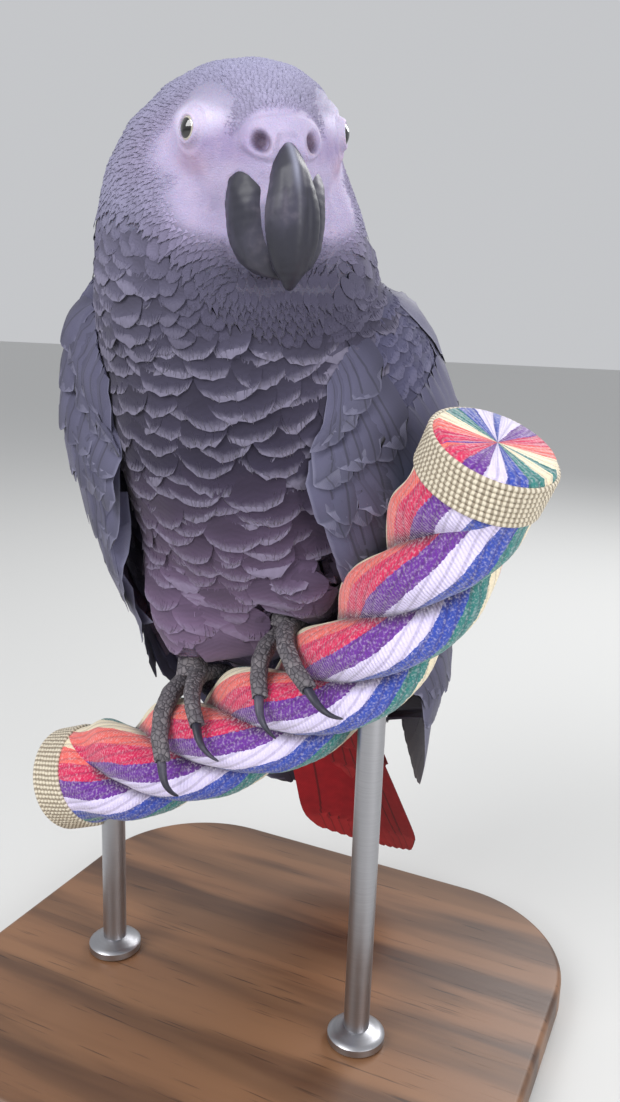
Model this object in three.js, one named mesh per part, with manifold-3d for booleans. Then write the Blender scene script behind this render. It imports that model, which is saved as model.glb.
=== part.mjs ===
// A Congo grey parrot at life size, perched on a cut length of twisted rope that a plain display stand holds.
// Millimetres, +Z up. The bird's chest faces -Y and its left side is +X. The origin is the centre of the
// underside of the stand's base. The bird's own frame has its origin in the perch, between the feet.
import * as THREE from "three";
import { mergeVertices } from "three/addons/utils/BufferGeometryUtils.js";
import Module from "manifold-3d";

const wasm = await Module();
wasm.setup();

// ---------------------------------------------------------------- driving dimensions
const GAP = 0.3; // clearance kept between touching pieces
const MERGED = 1e-4; // points closer than this are one

const BASE = { width: 190, depth: 170, thickness: 12, corner: 46, chamfer: 1.5, arcSteps: 6 };
const BIRD = { y: -13, z: 112 }; // where the bird's own frame stands on the base

// The rope's three laid strands show as lobes. Its middle line runs from fromX to toX and is height high at
// x = 0. It rises to the bird's left by rise and curl, turns up by bend past bendFrom, and comes forward by
// sway past swayFrom.
const ROPE = { radius: 18, lobes: 3, lobeDepth: 3.2, pitch: 92, fromX: -72, toX: 76 };
const ROPE_LINE = { height: -4, rise: 0.62, curl: 0.0018, bend: 0.0115, sway: 0.006 };
const ROPE_TURN = { bendFrom: 18, swayFrom: 24 };
// The bound ends are thinner by inset up to the share from of the length. Past the share to, the strands are
// free.
const WHIPPING = { inset: 1.6, from: 0.06, to: 0.13 };
const ROD = { radius: 4, left: 42, right: -52, sunk: 9, collarRadius: 9, collarHeight: 5 };

// Rows run from under the tail's root up to the middle of the head: x, y and z of the trunk's axis, then the
// half width, the depth to the chest and the depth to the back.
const TRUNK_ROWS = [
  [1, 70, -46, 6, 3, 3],
  [0, 64, -29, 13, 8, 6],
  [-1, 56, -10, 21, 15, 13],
  [-2, 47, 10, 31, 25, 20],
  [-3, 37, 32, 40, 38, 27],
  [-4, 26, 57, 43.5, 41, 33],
  [-4, 15, 82, 45.5, 44, 37],
  [-4, 4, 107, 44, 41, 38],
  [-4, -6, 129, 41, 35, 37],
  [-4, -12, 148, 37, 30, 33],
  [-3, -14, 164, 30, 26, 28],
  [-2, -14, 176, 17, 16, 17],
];

// Where the skull sits, and how many degrees it is turned to the bird's left, bowed and tilted.
const HEAD = { x: 8.8, y: -20, z: 161.5, yaw: 42.5, pitch: 14, roll: -3 };
// In the head's frame the bill points to -Y. Rows run from the bill's root to the back of the head:
// y, the height of the middle, half width, height above it and depth below it.
const HEAD_ROWS = [
  [-33.5, -1.5, 5.2, 6.5, 4.5],
  [-31, -1, 7.6, 9.5, 6.5],
  [-27, -1, 10, 13.5, 10],
  [-18, -2, 17, 19.5, 18],
  [-7, -1, 22, 21.5, 24],
  [6, -1, 25.3, 21.5, 27],
  [19, -2, 27.5, 19.5, 27],
  [30, -4, 22.5, 14, 22],
  [36, -7, 11, 6, 10],
];
const HEAD_SQUARENESS = 2.15; // 2 would be a plain oval
const EYE = { x: 15.7, y: -13.2, z: 4.2, radius: 4.7 };
// The planes that part the head from the neck and the neck from the trunk: a point on each and the way up.
const THROAT_PLANE = { at: [0, -14, 139], up: [0.3, -0.26, 1] };
const SHOULDER_PLANE = { at: [0, -10, 112], up: [0, -0.2, 1] };

// Sections of the upper bill, from its root inside the face to the hooked tip: y and z of the middle of the
// section, half width, depth towards the ridge and depth towards the mouth.
const UPPER_BILL_ROWS = [
  [-24, -3, 3, 6, 6],
  [-30, -1.5, 3.4, 6.2, 7],
  [-35.5, -4, 4.6, 6, 7.5],
  [-38.5, -9.5, 6.2, 5.6, 7],
  [-39.7, -16, 6, 4.6, 5.4],
  [-39.4, -22, 4.2, 3.2, 3.2],
  [-38.2, -27, 1, 1, 1],
];
const UPPER_BILL_SQUARENESS = 1.9;
// The lower bill is a deep scoop under the upper one, with a high edge on each side. Columns as in HEAD_ROWS.
const LOWER_BILL_ROWS = [
  [-15, -9, 9, 9, 9],
  [-20, -10, 11.2, 12, 12],
  [-26, -12.5, 11.8, 13, 13.5],
  [-31.5, -16, 9.4, 11.5, 10],
  [-35, -21.5, 4.4, 4.5, 4.4],
];
const LOWER_BILL_SQUARENESS = 2.8;

// Rows of the left wing, from the wrist beside the chest to the tip over the tail: the middle of its outer
// face, the way that face looks, half the chord, the radius that the chord bends round and the thickness.
const WING_ROWS = [
  [34, -9, 123, 0.75, -0.45, 0.45, 7, 34, 4],
  [44, -2, 115, 0.92, -0.3, 0.2, 23, 38, 7],
  [51, 8, 101, 0.99, -0.05, 0.1, 36, 42, 8],
  [53.5, 20, 81, 0.99, 0.06, 0.04, 43, 43, 8],
  [53, 33, 57, 0.96, 0.22, 0, 44, 43, 7],
  [47, 51, 30, 0.85, 0.5, -0.1, 36, 42, 6],
  [41.5, 60, 3, 0.8, 0.55, -0.1, 29, 42, 5],
  [34.5, 70, -22, 0.78, 0.6, -0.05, 19, 42, 3.5],
  [28.5, 77, -44, 0.8, 0.6, 0, 9, 42, 2.2],
  [26, 80, -54, 0.8, 0.6, 0, 2.5, 42, 1],
];
const WING_OUTSIDE = 0.4; // share of the thickness on the outer side of the rows
const WING_EDGE_THINNING = 0.8; // 1 would bring the wing's edges to a knife edge
// Each wing hangs a little differently: wrist is how far its front end is moved, out how far its middle
// stands off and tip how far its tip is moved, from the share tipFrom of its length.
const WING_SET = {
  left: { wrist: [0, 0, 0], out: -3, tip: [6, -5, 6], tipFrom: 0.4 },
  right: { wrist: [-10, -4, 6], out: -6, tip: [7, 0, -10], tipFrom: 0.4 },
};
// The plane past which the wing is its long flight feathers alone.
const PRIMARY_PLANE = { at: [43, 48, 8], up: [0.25, -0.4, 1] };

// The closed tail, from its root to its tip: widths and thicknesses at both ends, how far its edges droop,
// and how its corners round off from the share roundFrom of its length.
const TAIL = {
  root: [4, 47, -2],
  tip: [13, 86, -88],
  rootHalf: 13,
  tipHalf: 26,
  widening: 0.8,
  rootThickness: 6.6,
  tipThickness: 1.8,
  droop: 5,
  roundFrom: 0.75,
  roundDepth: 0.6,
};

const FOOT_X = { left: 26, right: -10 }; // where the rope's middle lies under each foot
// Each toe bends round the rope. way is forwards or backwards and reach the degrees it covers of the rope's
// section; aside and spread say how far along the rope it starts and how much farther it ends.
const TOES = [
  { name: "inner_front", way: -1, reach: 66, aside: -3.5, spread: -5, radius: 3 },
  { name: "outer_front", way: -1, reach: 84, aside: 3, spread: 5, radius: 3.2 },
  { name: "inner_back", way: 1, reach: 58, aside: -3, spread: -5, radius: 2.8 },
  { name: "outer_back", way: 1, reach: 80, aside: 3, spread: 6, radius: 3.1 },
];
const TOE_TAPER = { root: 1.05, tip: 0.85 }; // of its radius
const TOE_PRESS = 0.3; // how deep a toe's pad presses into the rope
// A claw covers sweep degrees more of the rope, and arches clear of it between its root and its point.
const CLAW = { sweep: 34, radius: 1.9, tip: 0.35, taper: 1.4, arch: 2.2, sink: 0.4, flatness: 0.85 };
const CLAW_ROOT = 0.03; // share of the toe that the claw's root covers
// The shank leans back from the sole to the ankle, which the thigh's feathers hide.
const SHANK = { sole: 3.5, ankle: [2, 7, 22], ankleRadius: 4.2, soleWidth: 5.2, soleDepth: 4.6 };
// The feathered thigh bulges from the front of the belly and ends just over the foot.
const THIGH = {
  hip: [21, 19, 76],
  end: [0.5, 3, 7],
  kneeOut: 1.5,
  kneeForward: { left: 5, right: 1.5 },
  hipRadius: 28,
  endRadius: 14,
  roundFrom: 0.75,
  roundDepth: 0.6,
};
// Above this plane the thigh is part of the trunk.
const THIGH_PLANE = { height: 50, down: [0, -0.2, -1] };

// ---------------------------------------------------------------- helpers
const v = (x, y, z) => new THREE.Vector3(x, y, z);
const { clamp, degToRad, lerp, smoothstep } = THREE.MathUtils;
const X = v(1, 0, 0);
const signOf = { left: 1, right: -1 };
const mirrored = (hand, [x, y, z]) => v(signOf[hand] * x, y, z);

// A closed geometry as a solid that can be joined and cut.
function solid(geometry) {
  const bare = geometry.clone();
  bare.deleteAttribute("normal");
  bare.deleteAttribute("uv");
  const merged = mergeVertices(bare, MERGED);
  return new wasm.Manifold(
    new wasm.Mesh({
      numProp: 3,
      vertProperties: new Float32Array(merged.attributes.position.array),
      triVerts: new Uint32Array(merged.index.array),
    }),
  );
}

function geometryOf(made) {
  const mesh = made.getMesh();
  const geometry = new THREE.BufferGeometry();
  geometry.setAttribute("position", new THREE.BufferAttribute(mesh.vertProperties, 3));
  geometry.setIndex(new THREE.BufferAttribute(mesh.triVerts, 1));
  geometry.computeVertexNormals();
  return geometry;
}

// Six times the volume that a closed set of triangles holds, negative where they face inwards.
function signedVolume(points, index) {
  let sum = 0;
  for (let i = 0; i < index.length; i += 3) {
    const [a, b, c] = [points[index[i]], points[index[i + 1]], points[index[i + 2]]];
    sum += a.dot(b.clone().cross(c));
  }
  return sum;
}

// Joins rings of points, each with as many points as the next, into one closed body.
function skin(rings) {
  const sides = rings[0].length;
  const points = rings.flat();
  const middle = (ring) => ring.reduce((sum, p) => sum.add(p), v(0, 0, 0)).divideScalar(sides);
  points.push(middle(rings[0]), middle(rings.at(-1)));
  const [first, last] = [points.length - 2, points.length - 1];
  const index = [];
  for (let i = 0; i < sides; i += 1) {
    const next = (i + 1) % sides;
    index.push(first, next, i);
    for (let r = 0; r < rings.length - 1; r += 1) {
      const [a, b] = [r * sides + i, r * sides + next];
      index.push(a, b, b + sides, a, b + sides, a + sides);
    }
    index.push(last, (rings.length - 1) * sides + i, (rings.length - 1) * sides + next);
  }
  const outwards = signedVolume(points, index) > 0 ? index : index.toReversed();
  const geometry = new THREE.BufferGeometry().setFromPoints(points);
  geometry.setIndex(outwards);
  return solid(geometry);
}

// The list of made(t) for t from 0 to 1 in equal steps.
const along = (steps, made) => Array.from({ length: steps + 1 }, (_, i) => made(i / steps));

// Smooth values between the rows of a table: row i of n is met at t = i / (n - 1).
function smoothTable(rows) {
  const columns = [];
  for (let c = 0; c < rows[0].length; c += 3) {
    const points = rows.map((row) => v(row[c], row[c + 1] ?? 0, row[c + 2] ?? 0));
    columns.push(new THREE.CatmullRomCurve3(points));
  }
  return (t) => columns.flatMap((curve) => curve.getPoint(clamp(t, 0, 1)).toArray());
}

// How fast each column of a table changes at t, but for a common factor.
function changeOf(table, t) {
  const near = 0.01;
  const behind = table(t - near);
  return table(t + near).map((value, column) => value - behind[column]);
}

// One oval ring: right and up are its unit axes. Its upper and lower halves may differ in depth.
function oval(centre, right, up, halfWidth, above, below, sides, squareness = 2) {
  const power = 2 / squareness;
  return Array.from({ length: sides }, (_, i) => {
    const angle = (2 * Math.PI * i) / sides;
    const [c, s] = [Math.cos(angle), Math.sin(angle)];
    const wide = halfWidth * Math.sign(c) * Math.abs(c) ** power;
    const high = (s > 0 ? above : below) * Math.sign(s) * Math.abs(s) ** power;
    return centre.clone().addScaledVector(right, wide).addScaledVector(up, high);
  });
}

// A tapering tube along a curve: size(t) gives its half width and its half height.
function limb(curve, size, steps, sides, sideways) {
  const rings = along(steps, (t) => {
    const tangent = curve.getTangent(t);
    const up = tangent.clone().cross(sideways).normalize();
    const right = up.clone().cross(tangent).normalize();
    const [wide, high] = size(t);
    return oval(curve.getPoint(t), right, up, wide, high, high, sides);
  });
  return skin(rings);
}

// How far an end has rounded off at t: 1 up to the share from, then down along an ellipse.
const rounding = (t, from, depth) => Math.sqrt(1 - depth * Math.max(0, (t - from) / (1 - from)) ** 2);

// Everything on the side of a plane that its normal points to.
function halfSpace(point, normal) {
  const size = 800;
  const box = new THREE.BoxGeometry(size, size, size);
  box.translate(0, 0, size / 2);
  box.applyQuaternion(new THREE.Quaternion().setFromUnitVectors(v(0, 0, 1), normal.clone().normalize()));
  box.translate(point.x, point.y, point.z);
  return solid(box);
}

// Parts a body at a plane into [the side that up points to, the other side], a gap apart.
function part(body, plane) {
  const unit = v(...plane.up).normalize();
  const point = v(...plane.at);
  const ahead = halfSpace(point.clone().addScaledVector(unit, GAP / 2), unit);
  const behind = halfSpace(point.clone().addScaledVector(unit, -GAP / 2), unit.clone().negate());
  return [body.intersect(ahead), body.intersect(behind)];
}

// The largest of the bodies that a cut has left.
const biggest = (made) => made.decompose().sort((a, b) => b.volume() - a.volume())[0];

const bird = new THREE.Group();
bird.position.set(0, BIRD.y, BIRD.z);
const stand = new THREE.Group();
const rods = new THREE.Group();
rods.position.copy(bird.position);
stand.add(rods);
const model = new THREE.Group();
model.add(bird, stand);

function addPiece(group, name, made, material) {
  const mesh = new THREE.Mesh(geometryOf(made), material);
  mesh.name = name;
  group.add(mesh);
}

function paint(color, roughness, metalness = 0) {
  return new THREE.MeshStandardMaterial({ color, roughness, metalness });
}
const plumage = paint(0x7d7a8a, 0.9);
const facePlumage = paint(0xb7b1c6, 0.9);
const flightFeather = paint(0x3c3d47, 0.75);
const tailFeather = paint(0xa01824, 0.8);
const horn = paint(0x26262b, 0.4);
const scalySkin = paint(0x55545c, 0.7);
const eyeball = paint(0xd8d6b0, 0.1);
const cotton = paint(0xc2506a, 0.95);
const wood = paint(0x6b4a2f, 0.6);
const steel = paint(0xb9babd, 0.35, 1);

// ---------------------------------------------------------------- trunk and neck
const trunkTable = smoothTable(TRUNK_ROWS);

function trunkSolid(grow, steps = 16, sides = 18) {
  const rings = along(steps, (t) => {
    const [x, y, z, halfWidth, chest, back] = trunkTable(t);
    const [, dy, dz] = changeOf(trunkTable, t);
    const toBack = v(0, dy, dz).cross(X).normalize();
    return oval(v(x, y, z), X, toBack, halfWidth + grow, back + grow, chest + grow, sides);
  });
  return skin(rings);
}

// ---------------------------------------------------------------- head and bill
const headPlace = new THREE.Matrix4().compose(
  v(HEAD.x, HEAD.y, HEAD.z),
  new THREE.Quaternion().setFromEuler(
    new THREE.Euler(degToRad(HEAD.pitch), degToRad(HEAD.roll), degToRad(HEAD.yaw), "ZYX"),
  ),
  v(1, 1, 1),
);
const onHead = (x, y, z) => v(x, y, z).applyMatrix4(headPlace);
const headWay = (x, y, z) => v(x, y, z).transformDirection(headPlace);
const headRight = headWay(-1, 0, 0);
const headUp = headWay(0, 0, 1);

// A body of upright ovals across the head's length, from a table of rows as the head's.
function headLoft(rows, grow, steps, sides, squareness) {
  const table = smoothTable(rows);
  const rings = along(steps, (t) => {
    const [y, z, halfWidth, above, below] = table(t);
    const depths = [above + grow, below + grow];
    return oval(onHead(0, y, z), headRight, headUp, halfWidth + grow, ...depths, sides, squareness);
  });
  return skin(rings);
}

const headSolid = (grow) => headLoft(HEAD_ROWS, grow, 11, 16, HEAD_SQUARENESS);
const lowerBillSolid = (grow) => headLoft(LOWER_BILL_ROWS, grow, 8, 16, LOWER_BILL_SQUARENESS);

function upperBillSolid(grow, steps = 12, sides = 14) {
  const table = smoothTable(UPPER_BILL_ROWS);
  const rings = along(steps, (t) => {
    const [y, z, halfWidth, ridge, mouth] = table(t);
    const [dy, dz] = changeOf(table, t);
    const out = headRight.clone().cross(headWay(0, dy, dz));
    const depths = [ridge + grow, mouth + grow];
    return oval(onHead(0, y, z), headRight, out, halfWidth + grow, ...depths, sides, UPPER_BILL_SQUARENESS);
  });
  return skin(rings);
}

// ---------------------------------------------------------------- wings
const wingTable = smoothTable(WING_ROWS);

function wingSolid(hand, steps = 16, across = 6) {
  const side = signOf[hand];
  const set = WING_SET[hand];
  const rings = along(steps, (t) => {
    const [x, y, z, nx, ny, nz, halfChord, bend, thickness] = wingTable(t);
    const down = v(...changeOf(wingTable, t).slice(0, 3)).normalize();
    const chord = v(nx, ny, nz).cross(down).normalize();
    const out = down.clone().cross(chord).normalize();
    const shift = v(set.out * Math.sin(Math.PI * Math.sqrt(t)), 0, 0);
    shift.addScaledVector(v(...set.wrist), (1 - t) ** 3);
    shift.addScaledVector(v(...set.tip), smoothstep(t, set.tipFrom, 1));
    const place = (u, lift) => {
      const angle = (u * halfChord) / bend;
      const radius = bend + lift * Math.sqrt(1 - WING_EDGE_THINNING * u ** 4);
      const p = v(x, y, z).addScaledVector(chord, radius * Math.sin(angle));
      p.addScaledVector(out, radius * Math.cos(angle) - bend);
      return v(side * p.x, p.y, p.z).add(shift);
    };
    const outer = along(across, (s) => place(2 * s - 1, thickness * WING_OUTSIDE));
    const inner = along(across, (s) => place(1 - 2 * s, thickness * (WING_OUTSIDE - 1)));
    return [...outer, ...inner];
  });
  return skin(rings);
}

// ---------------------------------------------------------------- tail
function tailSolid(grow, steps = 10, across = 6) {
  const root = v(...TAIL.root);
  const tip = v(...TAIL.tip);
  const down = tip.clone().sub(root).normalize();
  const back = X.clone().cross(down).normalize();
  const rings = along(steps, (t) => {
    const middle = root.clone().lerp(tip, t);
    const width = lerp(TAIL.rootHalf, TAIL.tipHalf, t ** TAIL.widening);
    const half = width * rounding(t, TAIL.roundFrom, TAIL.roundDepth) + grow;
    const thick = lerp(TAIL.rootThickness, TAIL.tipThickness, t) / 2 + grow;
    const place = (u, lift) => v(u * half, 0, 0).add(middle).addScaledVector(back, lift - TAIL.droop * u * u);
    const upper = along(across, (s) => place(1 - 2 * s, thick));
    const lower = along(across, (s) => place(2 * s - 1, -thick));
    return [...upper, ...lower];
  });
  return skin(rings);
}

// ---------------------------------------------------------------- rope perch
const past = (x, from) => Math.max(0, x - from) ** 2;
const ropeForward = (x) => -ROPE_LINE.sway * past(x, ROPE_TURN.swayFrom);
const ropeHeight = (x) =>
  ROPE_LINE.height + (ROPE_LINE.rise + ROPE_LINE.curl * x) * x + ROPE_LINE.bend * past(x, ROPE_TURN.bendFrom);

// The rope's middle line, on which x grows evenly.
class RopeCurve extends THREE.Curve {
  getPoint(t, target = v(0, 0, 0)) {
    const x = lerp(ROPE.fromX, ROPE.toX, t);
    return target.set(x, ropeForward(x), ropeHeight(x));
  }
}
const ropeCurve = new RopeCurve();
const ropeLength = ropeCurve.getLength();
// The ways up and sideways from the rope where its tangent is lengthwise.
function ropeWays(lengthwise) {
  const up = lengthwise.clone().cross(v(0, 1, 0)).normalize();
  return [up, up.clone().cross(lengthwise).normalize()];
}

function ropeSolid(grow, steps = 18, sides = 12) {
  const rings = along(steps, (t) => {
    const turn = (2 * Math.PI * t * ropeLength) / ROPE.pitch;
    const laid = smoothstep(Math.min(t, 1 - t), WHIPPING.from, WHIPPING.to);
    const [up, aside] = ropeWays(ropeCurve.getTangentAt(t));
    return Array.from({ length: sides }, (_, k) => {
      const angle = (2 * Math.PI * k) / sides;
      const lobe = (ROPE.lobeDepth / 2) * (Math.cos(ROPE.lobes * (angle - turn)) - 1);
      const radius = ROPE.radius + lobe * laid - WHIPPING.inset * (1 - laid) + grow;
      const p = ropeCurve.getPointAt(t).addScaledVector(up, radius * Math.sin(angle));
      return p.addScaledVector(aside, radius * Math.cos(angle));
    });
  });
  return skin(rings);
}

// ---------------------------------------------------------------- legs and feet
// A foot's own place on the rope: place(shift, angle, radius) is a point round the rope's section there.
function footFrame(hand) {
  const t = (FOOT_X[hand] - ROPE.fromX) / (ROPE.toX - ROPE.fromX);
  const centre = ropeCurve.getPoint(t);
  const lengthwise = ropeCurve.getTangent(t);
  const [up, aside] = ropeWays(lengthwise);
  const place = (shift, angle, radius) => {
    const p = centre.clone().addScaledVector(lengthwise, signOf[hand] * shift);
    p.addScaledVector(up, Math.cos(angle) * radius);
    return p.addScaledVector(aside, Math.sin(angle) * radius);
  };
  return { lengthwise, place };
}

// The toe's middle line between two shares of its reach, standing off the rope by lift(share).
function toeCurve(frame, toe, from, to, lift) {
  const points = along(5, (t) => {
    const share = lerp(from, to, t);
    const angle = toe.way * degToRad(toe.reach * share);
    return frame.place(toe.aside + toe.spread * share, angle, ROPE.radius + lift(share));
  });
  return new THREE.CatmullRomCurve3(points);
}

function footSolid(hand, grow) {
  const frame = footFrame(hand);
  const sole = frame.place(0, 0, ROPE.radius + SHANK.sole);
  const ankle = sole.clone().add(mirrored(hand, SHANK.ankle));
  const shankSize = (t) => [
    lerp(SHANK.ankleRadius, SHANK.soleWidth, t) + grow,
    lerp(SHANK.ankleRadius, SHANK.soleDepth, t) + grow,
  ];
  let foot = limb(new THREE.LineCurve3(ankle, sole), shankSize, 2, 8, X);
  for (const toe of TOES) {
    const radius = (t) => toe.radius * lerp(TOE_TAPER.root, TOE_TAPER.tip, t);
    const line = toeCurve(frame, toe, 0, 1, (share) => radius(share) - TOE_PRESS);
    foot = foot.add(limb(line, (t) => [radius(t) + grow, radius(t) + grow], 4, 6, frame.lengthwise));
  }
  return foot;
}

function clawSolid(hand, toe, grow) {
  const frame = footFrame(hand);
  const sweep = CLAW.sweep / toe.reach;
  const line = toeCurve(frame, toe, 1 - CLAW_ROOT, 1 + sweep, (share) => {
    const out = (share - 1) / sweep;
    return toe.radius * TOE_TAPER.tip + CLAW.arch * Math.sin(Math.PI * Math.max(0, out)) - CLAW.sink * out;
  });
  const radius = (t) => lerp(CLAW.radius, CLAW.tip, t ** CLAW.taper) + grow;
  return limb(line, (t) => [radius(t) * CLAW.flatness, radius(t)], 5, 6, frame.lengthwise);
}

function thighSolid(hand, grow) {
  const hip = mirrored(hand, THIGH.hip);
  const end = footFrame(hand).place(0, 0, ROPE.radius).add(mirrored(hand, THIGH.end));
  const bend = mirrored(hand, [THIGH.kneeOut, -THIGH.kneeForward[hand], 0]);
  const knee = hip.clone().lerp(end, 0.5).add(bend);
  const line = new THREE.CatmullRomCurve3([hip, knee, end]);
  const radius = (t) => {
    const taper = lerp(THIGH.hipRadius, THIGH.endRadius, t);
    return taper * rounding(t, THIGH.roundFrom, THIGH.roundDepth) + grow;
  };
  return limb(line, (t) => [radius(t), radius(t)], 6, 11, X);
}

// ---------------------------------------------------------------- the bird's pieces, cut clear of each other
const ropeClear = ropeSolid(GAP);
const tailClear = tailSolid(GAP);
const upperBillClear = upperBillSolid(GAP);

function ball(hand, radius) {
  const sphere = new THREE.SphereGeometry(radius, 12, 7);
  const centre = onHead(signOf[hand] * EYE.x, EYE.y, EYE.z);
  sphere.translate(centre.x, centre.y, centre.z);
  return solid(sphere);
}

let flesh = trunkSolid(0).add(headSolid(0));
const eyeClears = [ball("left", EYE.radius + GAP), ball("right", EYE.radius + GAP)];
for (const clear of [tailClear, upperBillClear, lowerBillSolid(GAP), ropeClear, ...eyeClears]) {
  flesh = flesh.subtract(clear);
}

const [head, belowHead] = part(flesh, THROAT_PLANE);
const [neck, belowNeck] = part(belowHead, SHOULDER_PLANE);
let trunk = belowNeck;
const fleshClear = trunkSolid(GAP).add(headSolid(GAP));

for (const hand of ["left", "right"]) {
  const footClear = footSolid(hand, GAP);
  const below = (drop) => halfSpace(v(0, 0, THIGH_PLANE.height - drop), v(...THIGH_PLANE.down));
  const thigh = thighSolid(hand, 0).intersect(below(GAP)).subtract(ropeClear).subtract(footClear);
  trunk = trunk.subtract(thighSolid(hand, GAP).intersect(below(0))).subtract(footClear);
  addPiece(bird, `thigh_${hand}`, biggest(thigh), plumage);
  addPiece(bird, `eye_${hand}`, ball(hand, EYE.radius), eyeball);

  let wing = wingSolid(hand);
  for (const clear of [fleshClear, tailClear, thighSolid(hand, GAP), ropeClear]) wing = wing.subtract(clear);
  const plane = { at: mirrored(hand, PRIMARY_PLANE.at), up: mirrored(hand, PRIMARY_PLANE.up) };
  const [coverts, primaries] = part(wing, plane);
  addPiece(bird, `wing_${hand}`, biggest(coverts), plumage);
  addPiece(bird, `primaries_${hand}`, biggest(primaries), flightFeather);

  let foot = footSolid(hand, 0).subtract(ropeClear);
  for (const toe of TOES) {
    const clawClear = clawSolid(hand, toe, GAP);
    foot = foot.subtract(clawClear);
    trunk = trunk.subtract(clawClear);
    addPiece(bird, `claw_${hand}_${toe.name}`, biggest(clawSolid(hand, toe, 0).subtract(ropeClear)), horn);
  }
  addPiece(bird, `foot_${hand}`, biggest(foot), scalySkin);
}

addPiece(bird, "head", biggest(head), facePlumage);
addPiece(bird, "neck", biggest(neck), plumage);
addPiece(bird, "trunk", biggest(trunk), plumage);
addPiece(bird, "tail", biggest(tailSolid(0).subtract(ropeClear)), tailFeather);
addPiece(bird, "bill_upper", upperBillSolid(0), horn);
addPiece(bird, "bill_lower", biggest(lowerBillSolid(0).subtract(upperBillClear)), horn);

// ---------------------------------------------------------------- display stand
function post(x, y, radius, from, to, sides = 12) {
  const cylinder = new THREE.CylinderGeometry(radius, radius, to - from, sides);
  cylinder.rotateX(Math.PI / 2);
  cylinder.translate(x, y, (from + to) / 2);
  return cylinder;
}

// Each rod stands on the base with a round collar and ends in a socket in the rope's underside.
let pinnedRope = ropeSolid(0);
const baseTop = BASE.thickness + GAP - BIRD.z;
for (const hand of ["left", "right"]) {
  const x = ROD[hand];
  const y = ropeForward(x);
  const top = ropeHeight(x) - ROPE.radius + ROD.sunk;
  const collar = solid(post(x, y, ROD.collarRadius, baseTop, baseTop + ROD.collarHeight));
  const rod = solid(post(x, y, ROD.radius, baseTop, top)).add(collar);
  pinnedRope = pinnedRope.subtract(solid(post(x, y, ROD.radius + GAP, baseTop, top + GAP)));
  addPiece(rods, `stand_rod_${hand}`, rod, steel);
}
addPiece(bird, "perch_rope", pinnedRope, cotton);

// A flat slab with round corners and a small chamfer all round its two edges.
function baseGeometry() {
  const outline = new THREE.Shape();
  const [w, d, r] = [BASE.width / 2 - BASE.corner, BASE.depth / 2 - BASE.corner, BASE.corner];
  outline.moveTo(w + r, -d);
  outline.absarc(w, d, r, 0, Math.PI / 2);
  outline.absarc(-w, d, r, Math.PI / 2, Math.PI);
  outline.absarc(-w, -d, r, Math.PI, 1.5 * Math.PI);
  outline.absarc(w, -d, r, 1.5 * Math.PI, 2 * Math.PI);
  const slab = new THREE.ExtrudeGeometry(outline, {
    depth: BASE.thickness - 2 * BASE.chamfer,
    curveSegments: BASE.arcSteps,
    bevelThickness: BASE.chamfer,
    bevelSize: BASE.chamfer,
    bevelOffset: -BASE.chamfer,
    bevelSegments: 1,
  });
  return slab.translate(0, 0, BASE.chamfer);
}
addPiece(stand, "stand_base", solid(baseGeometry()), wood);

export default model;
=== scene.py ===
import contextlib
import math

import bmesh
import bpy
import numpy as np
from mathutils import Euler, Matrix, Vector, bvhtree


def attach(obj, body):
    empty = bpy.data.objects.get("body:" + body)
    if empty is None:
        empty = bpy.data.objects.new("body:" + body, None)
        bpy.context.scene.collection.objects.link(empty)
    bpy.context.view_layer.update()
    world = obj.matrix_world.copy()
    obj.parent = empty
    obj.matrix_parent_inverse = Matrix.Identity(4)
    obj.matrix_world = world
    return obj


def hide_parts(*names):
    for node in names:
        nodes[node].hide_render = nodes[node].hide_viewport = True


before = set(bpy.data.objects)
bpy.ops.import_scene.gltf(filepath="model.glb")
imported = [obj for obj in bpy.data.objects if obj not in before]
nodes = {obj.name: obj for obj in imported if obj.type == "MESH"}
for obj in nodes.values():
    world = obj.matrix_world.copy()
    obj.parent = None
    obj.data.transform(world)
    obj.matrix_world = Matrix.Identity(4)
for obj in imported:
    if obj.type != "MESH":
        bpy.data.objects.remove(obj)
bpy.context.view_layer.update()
MM = 0.001

# ---------------------------------------------------------------- camera
# A plain camera with no blur. It stands a little to the bird's left and looks slightly down at its breast.
CAMERA_PLACE = (0.13344, -0.25765, 0.229)
CAMERA_TURN, CAMERA_DROP, CAMERA_ROLL = 25, 13, 2  # degrees


def put(name, data):
    """A new object with this mesh, camera or lamp in it."""
    o = bpy.data.objects.new(name, data)
    bpy.context.scene.collection.objects.link(o)
    return o


camera = put("camera", bpy.data.cameras.new("camera"))
camera.data.lens = 31.165
camera.data.sensor_width = 36
camera.data.clip_start = 0.01
camera.matrix_world = (
    Matrix.Translation(CAMERA_PLACE)
    @ Matrix.Rotation(math.radians(CAMERA_TURN), 4, "Z")
    @ Matrix.Rotation(math.radians(90 - CAMERA_DROP), 4, "X")
    @ Matrix.Rotation(math.radians(CAMERA_ROLL), 4, "Z")
)
bpy.context.scene.camera = camera
bpy.context.scene.view_settings.view_transform = "Standard"

# ---------------------------------------------------------------- skin
# One skin covers the skull, neck, trunk, thighs and wing arms. It is bare round the eyes and over the root
# of the bill, with lids, fine folds and nostrils, and lies under the feathers everywhere else.
FLESH = ["head", "neck", "trunk", "thigh_left", "thigh_right", "wing_left", "wing_right"]
FILLERS = ["eye_left", "eye_right", "bill_upper", "bill_lower"]  # they close the hollows that they sit in
SKIN_SWELL = 0.35 * MM  # closes the thin gaps between the parts
SKIN_VOXEL = 1.75 * MM
BARE_DEPTH, HEAD_DEPTH, COAT_DEPTH = 0.5, 0.75, 3.2  # how deep the skin lies, in mm
THIN_SHARE = 0.3  # the most of a thin part's thickness that the skin sinks by

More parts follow.
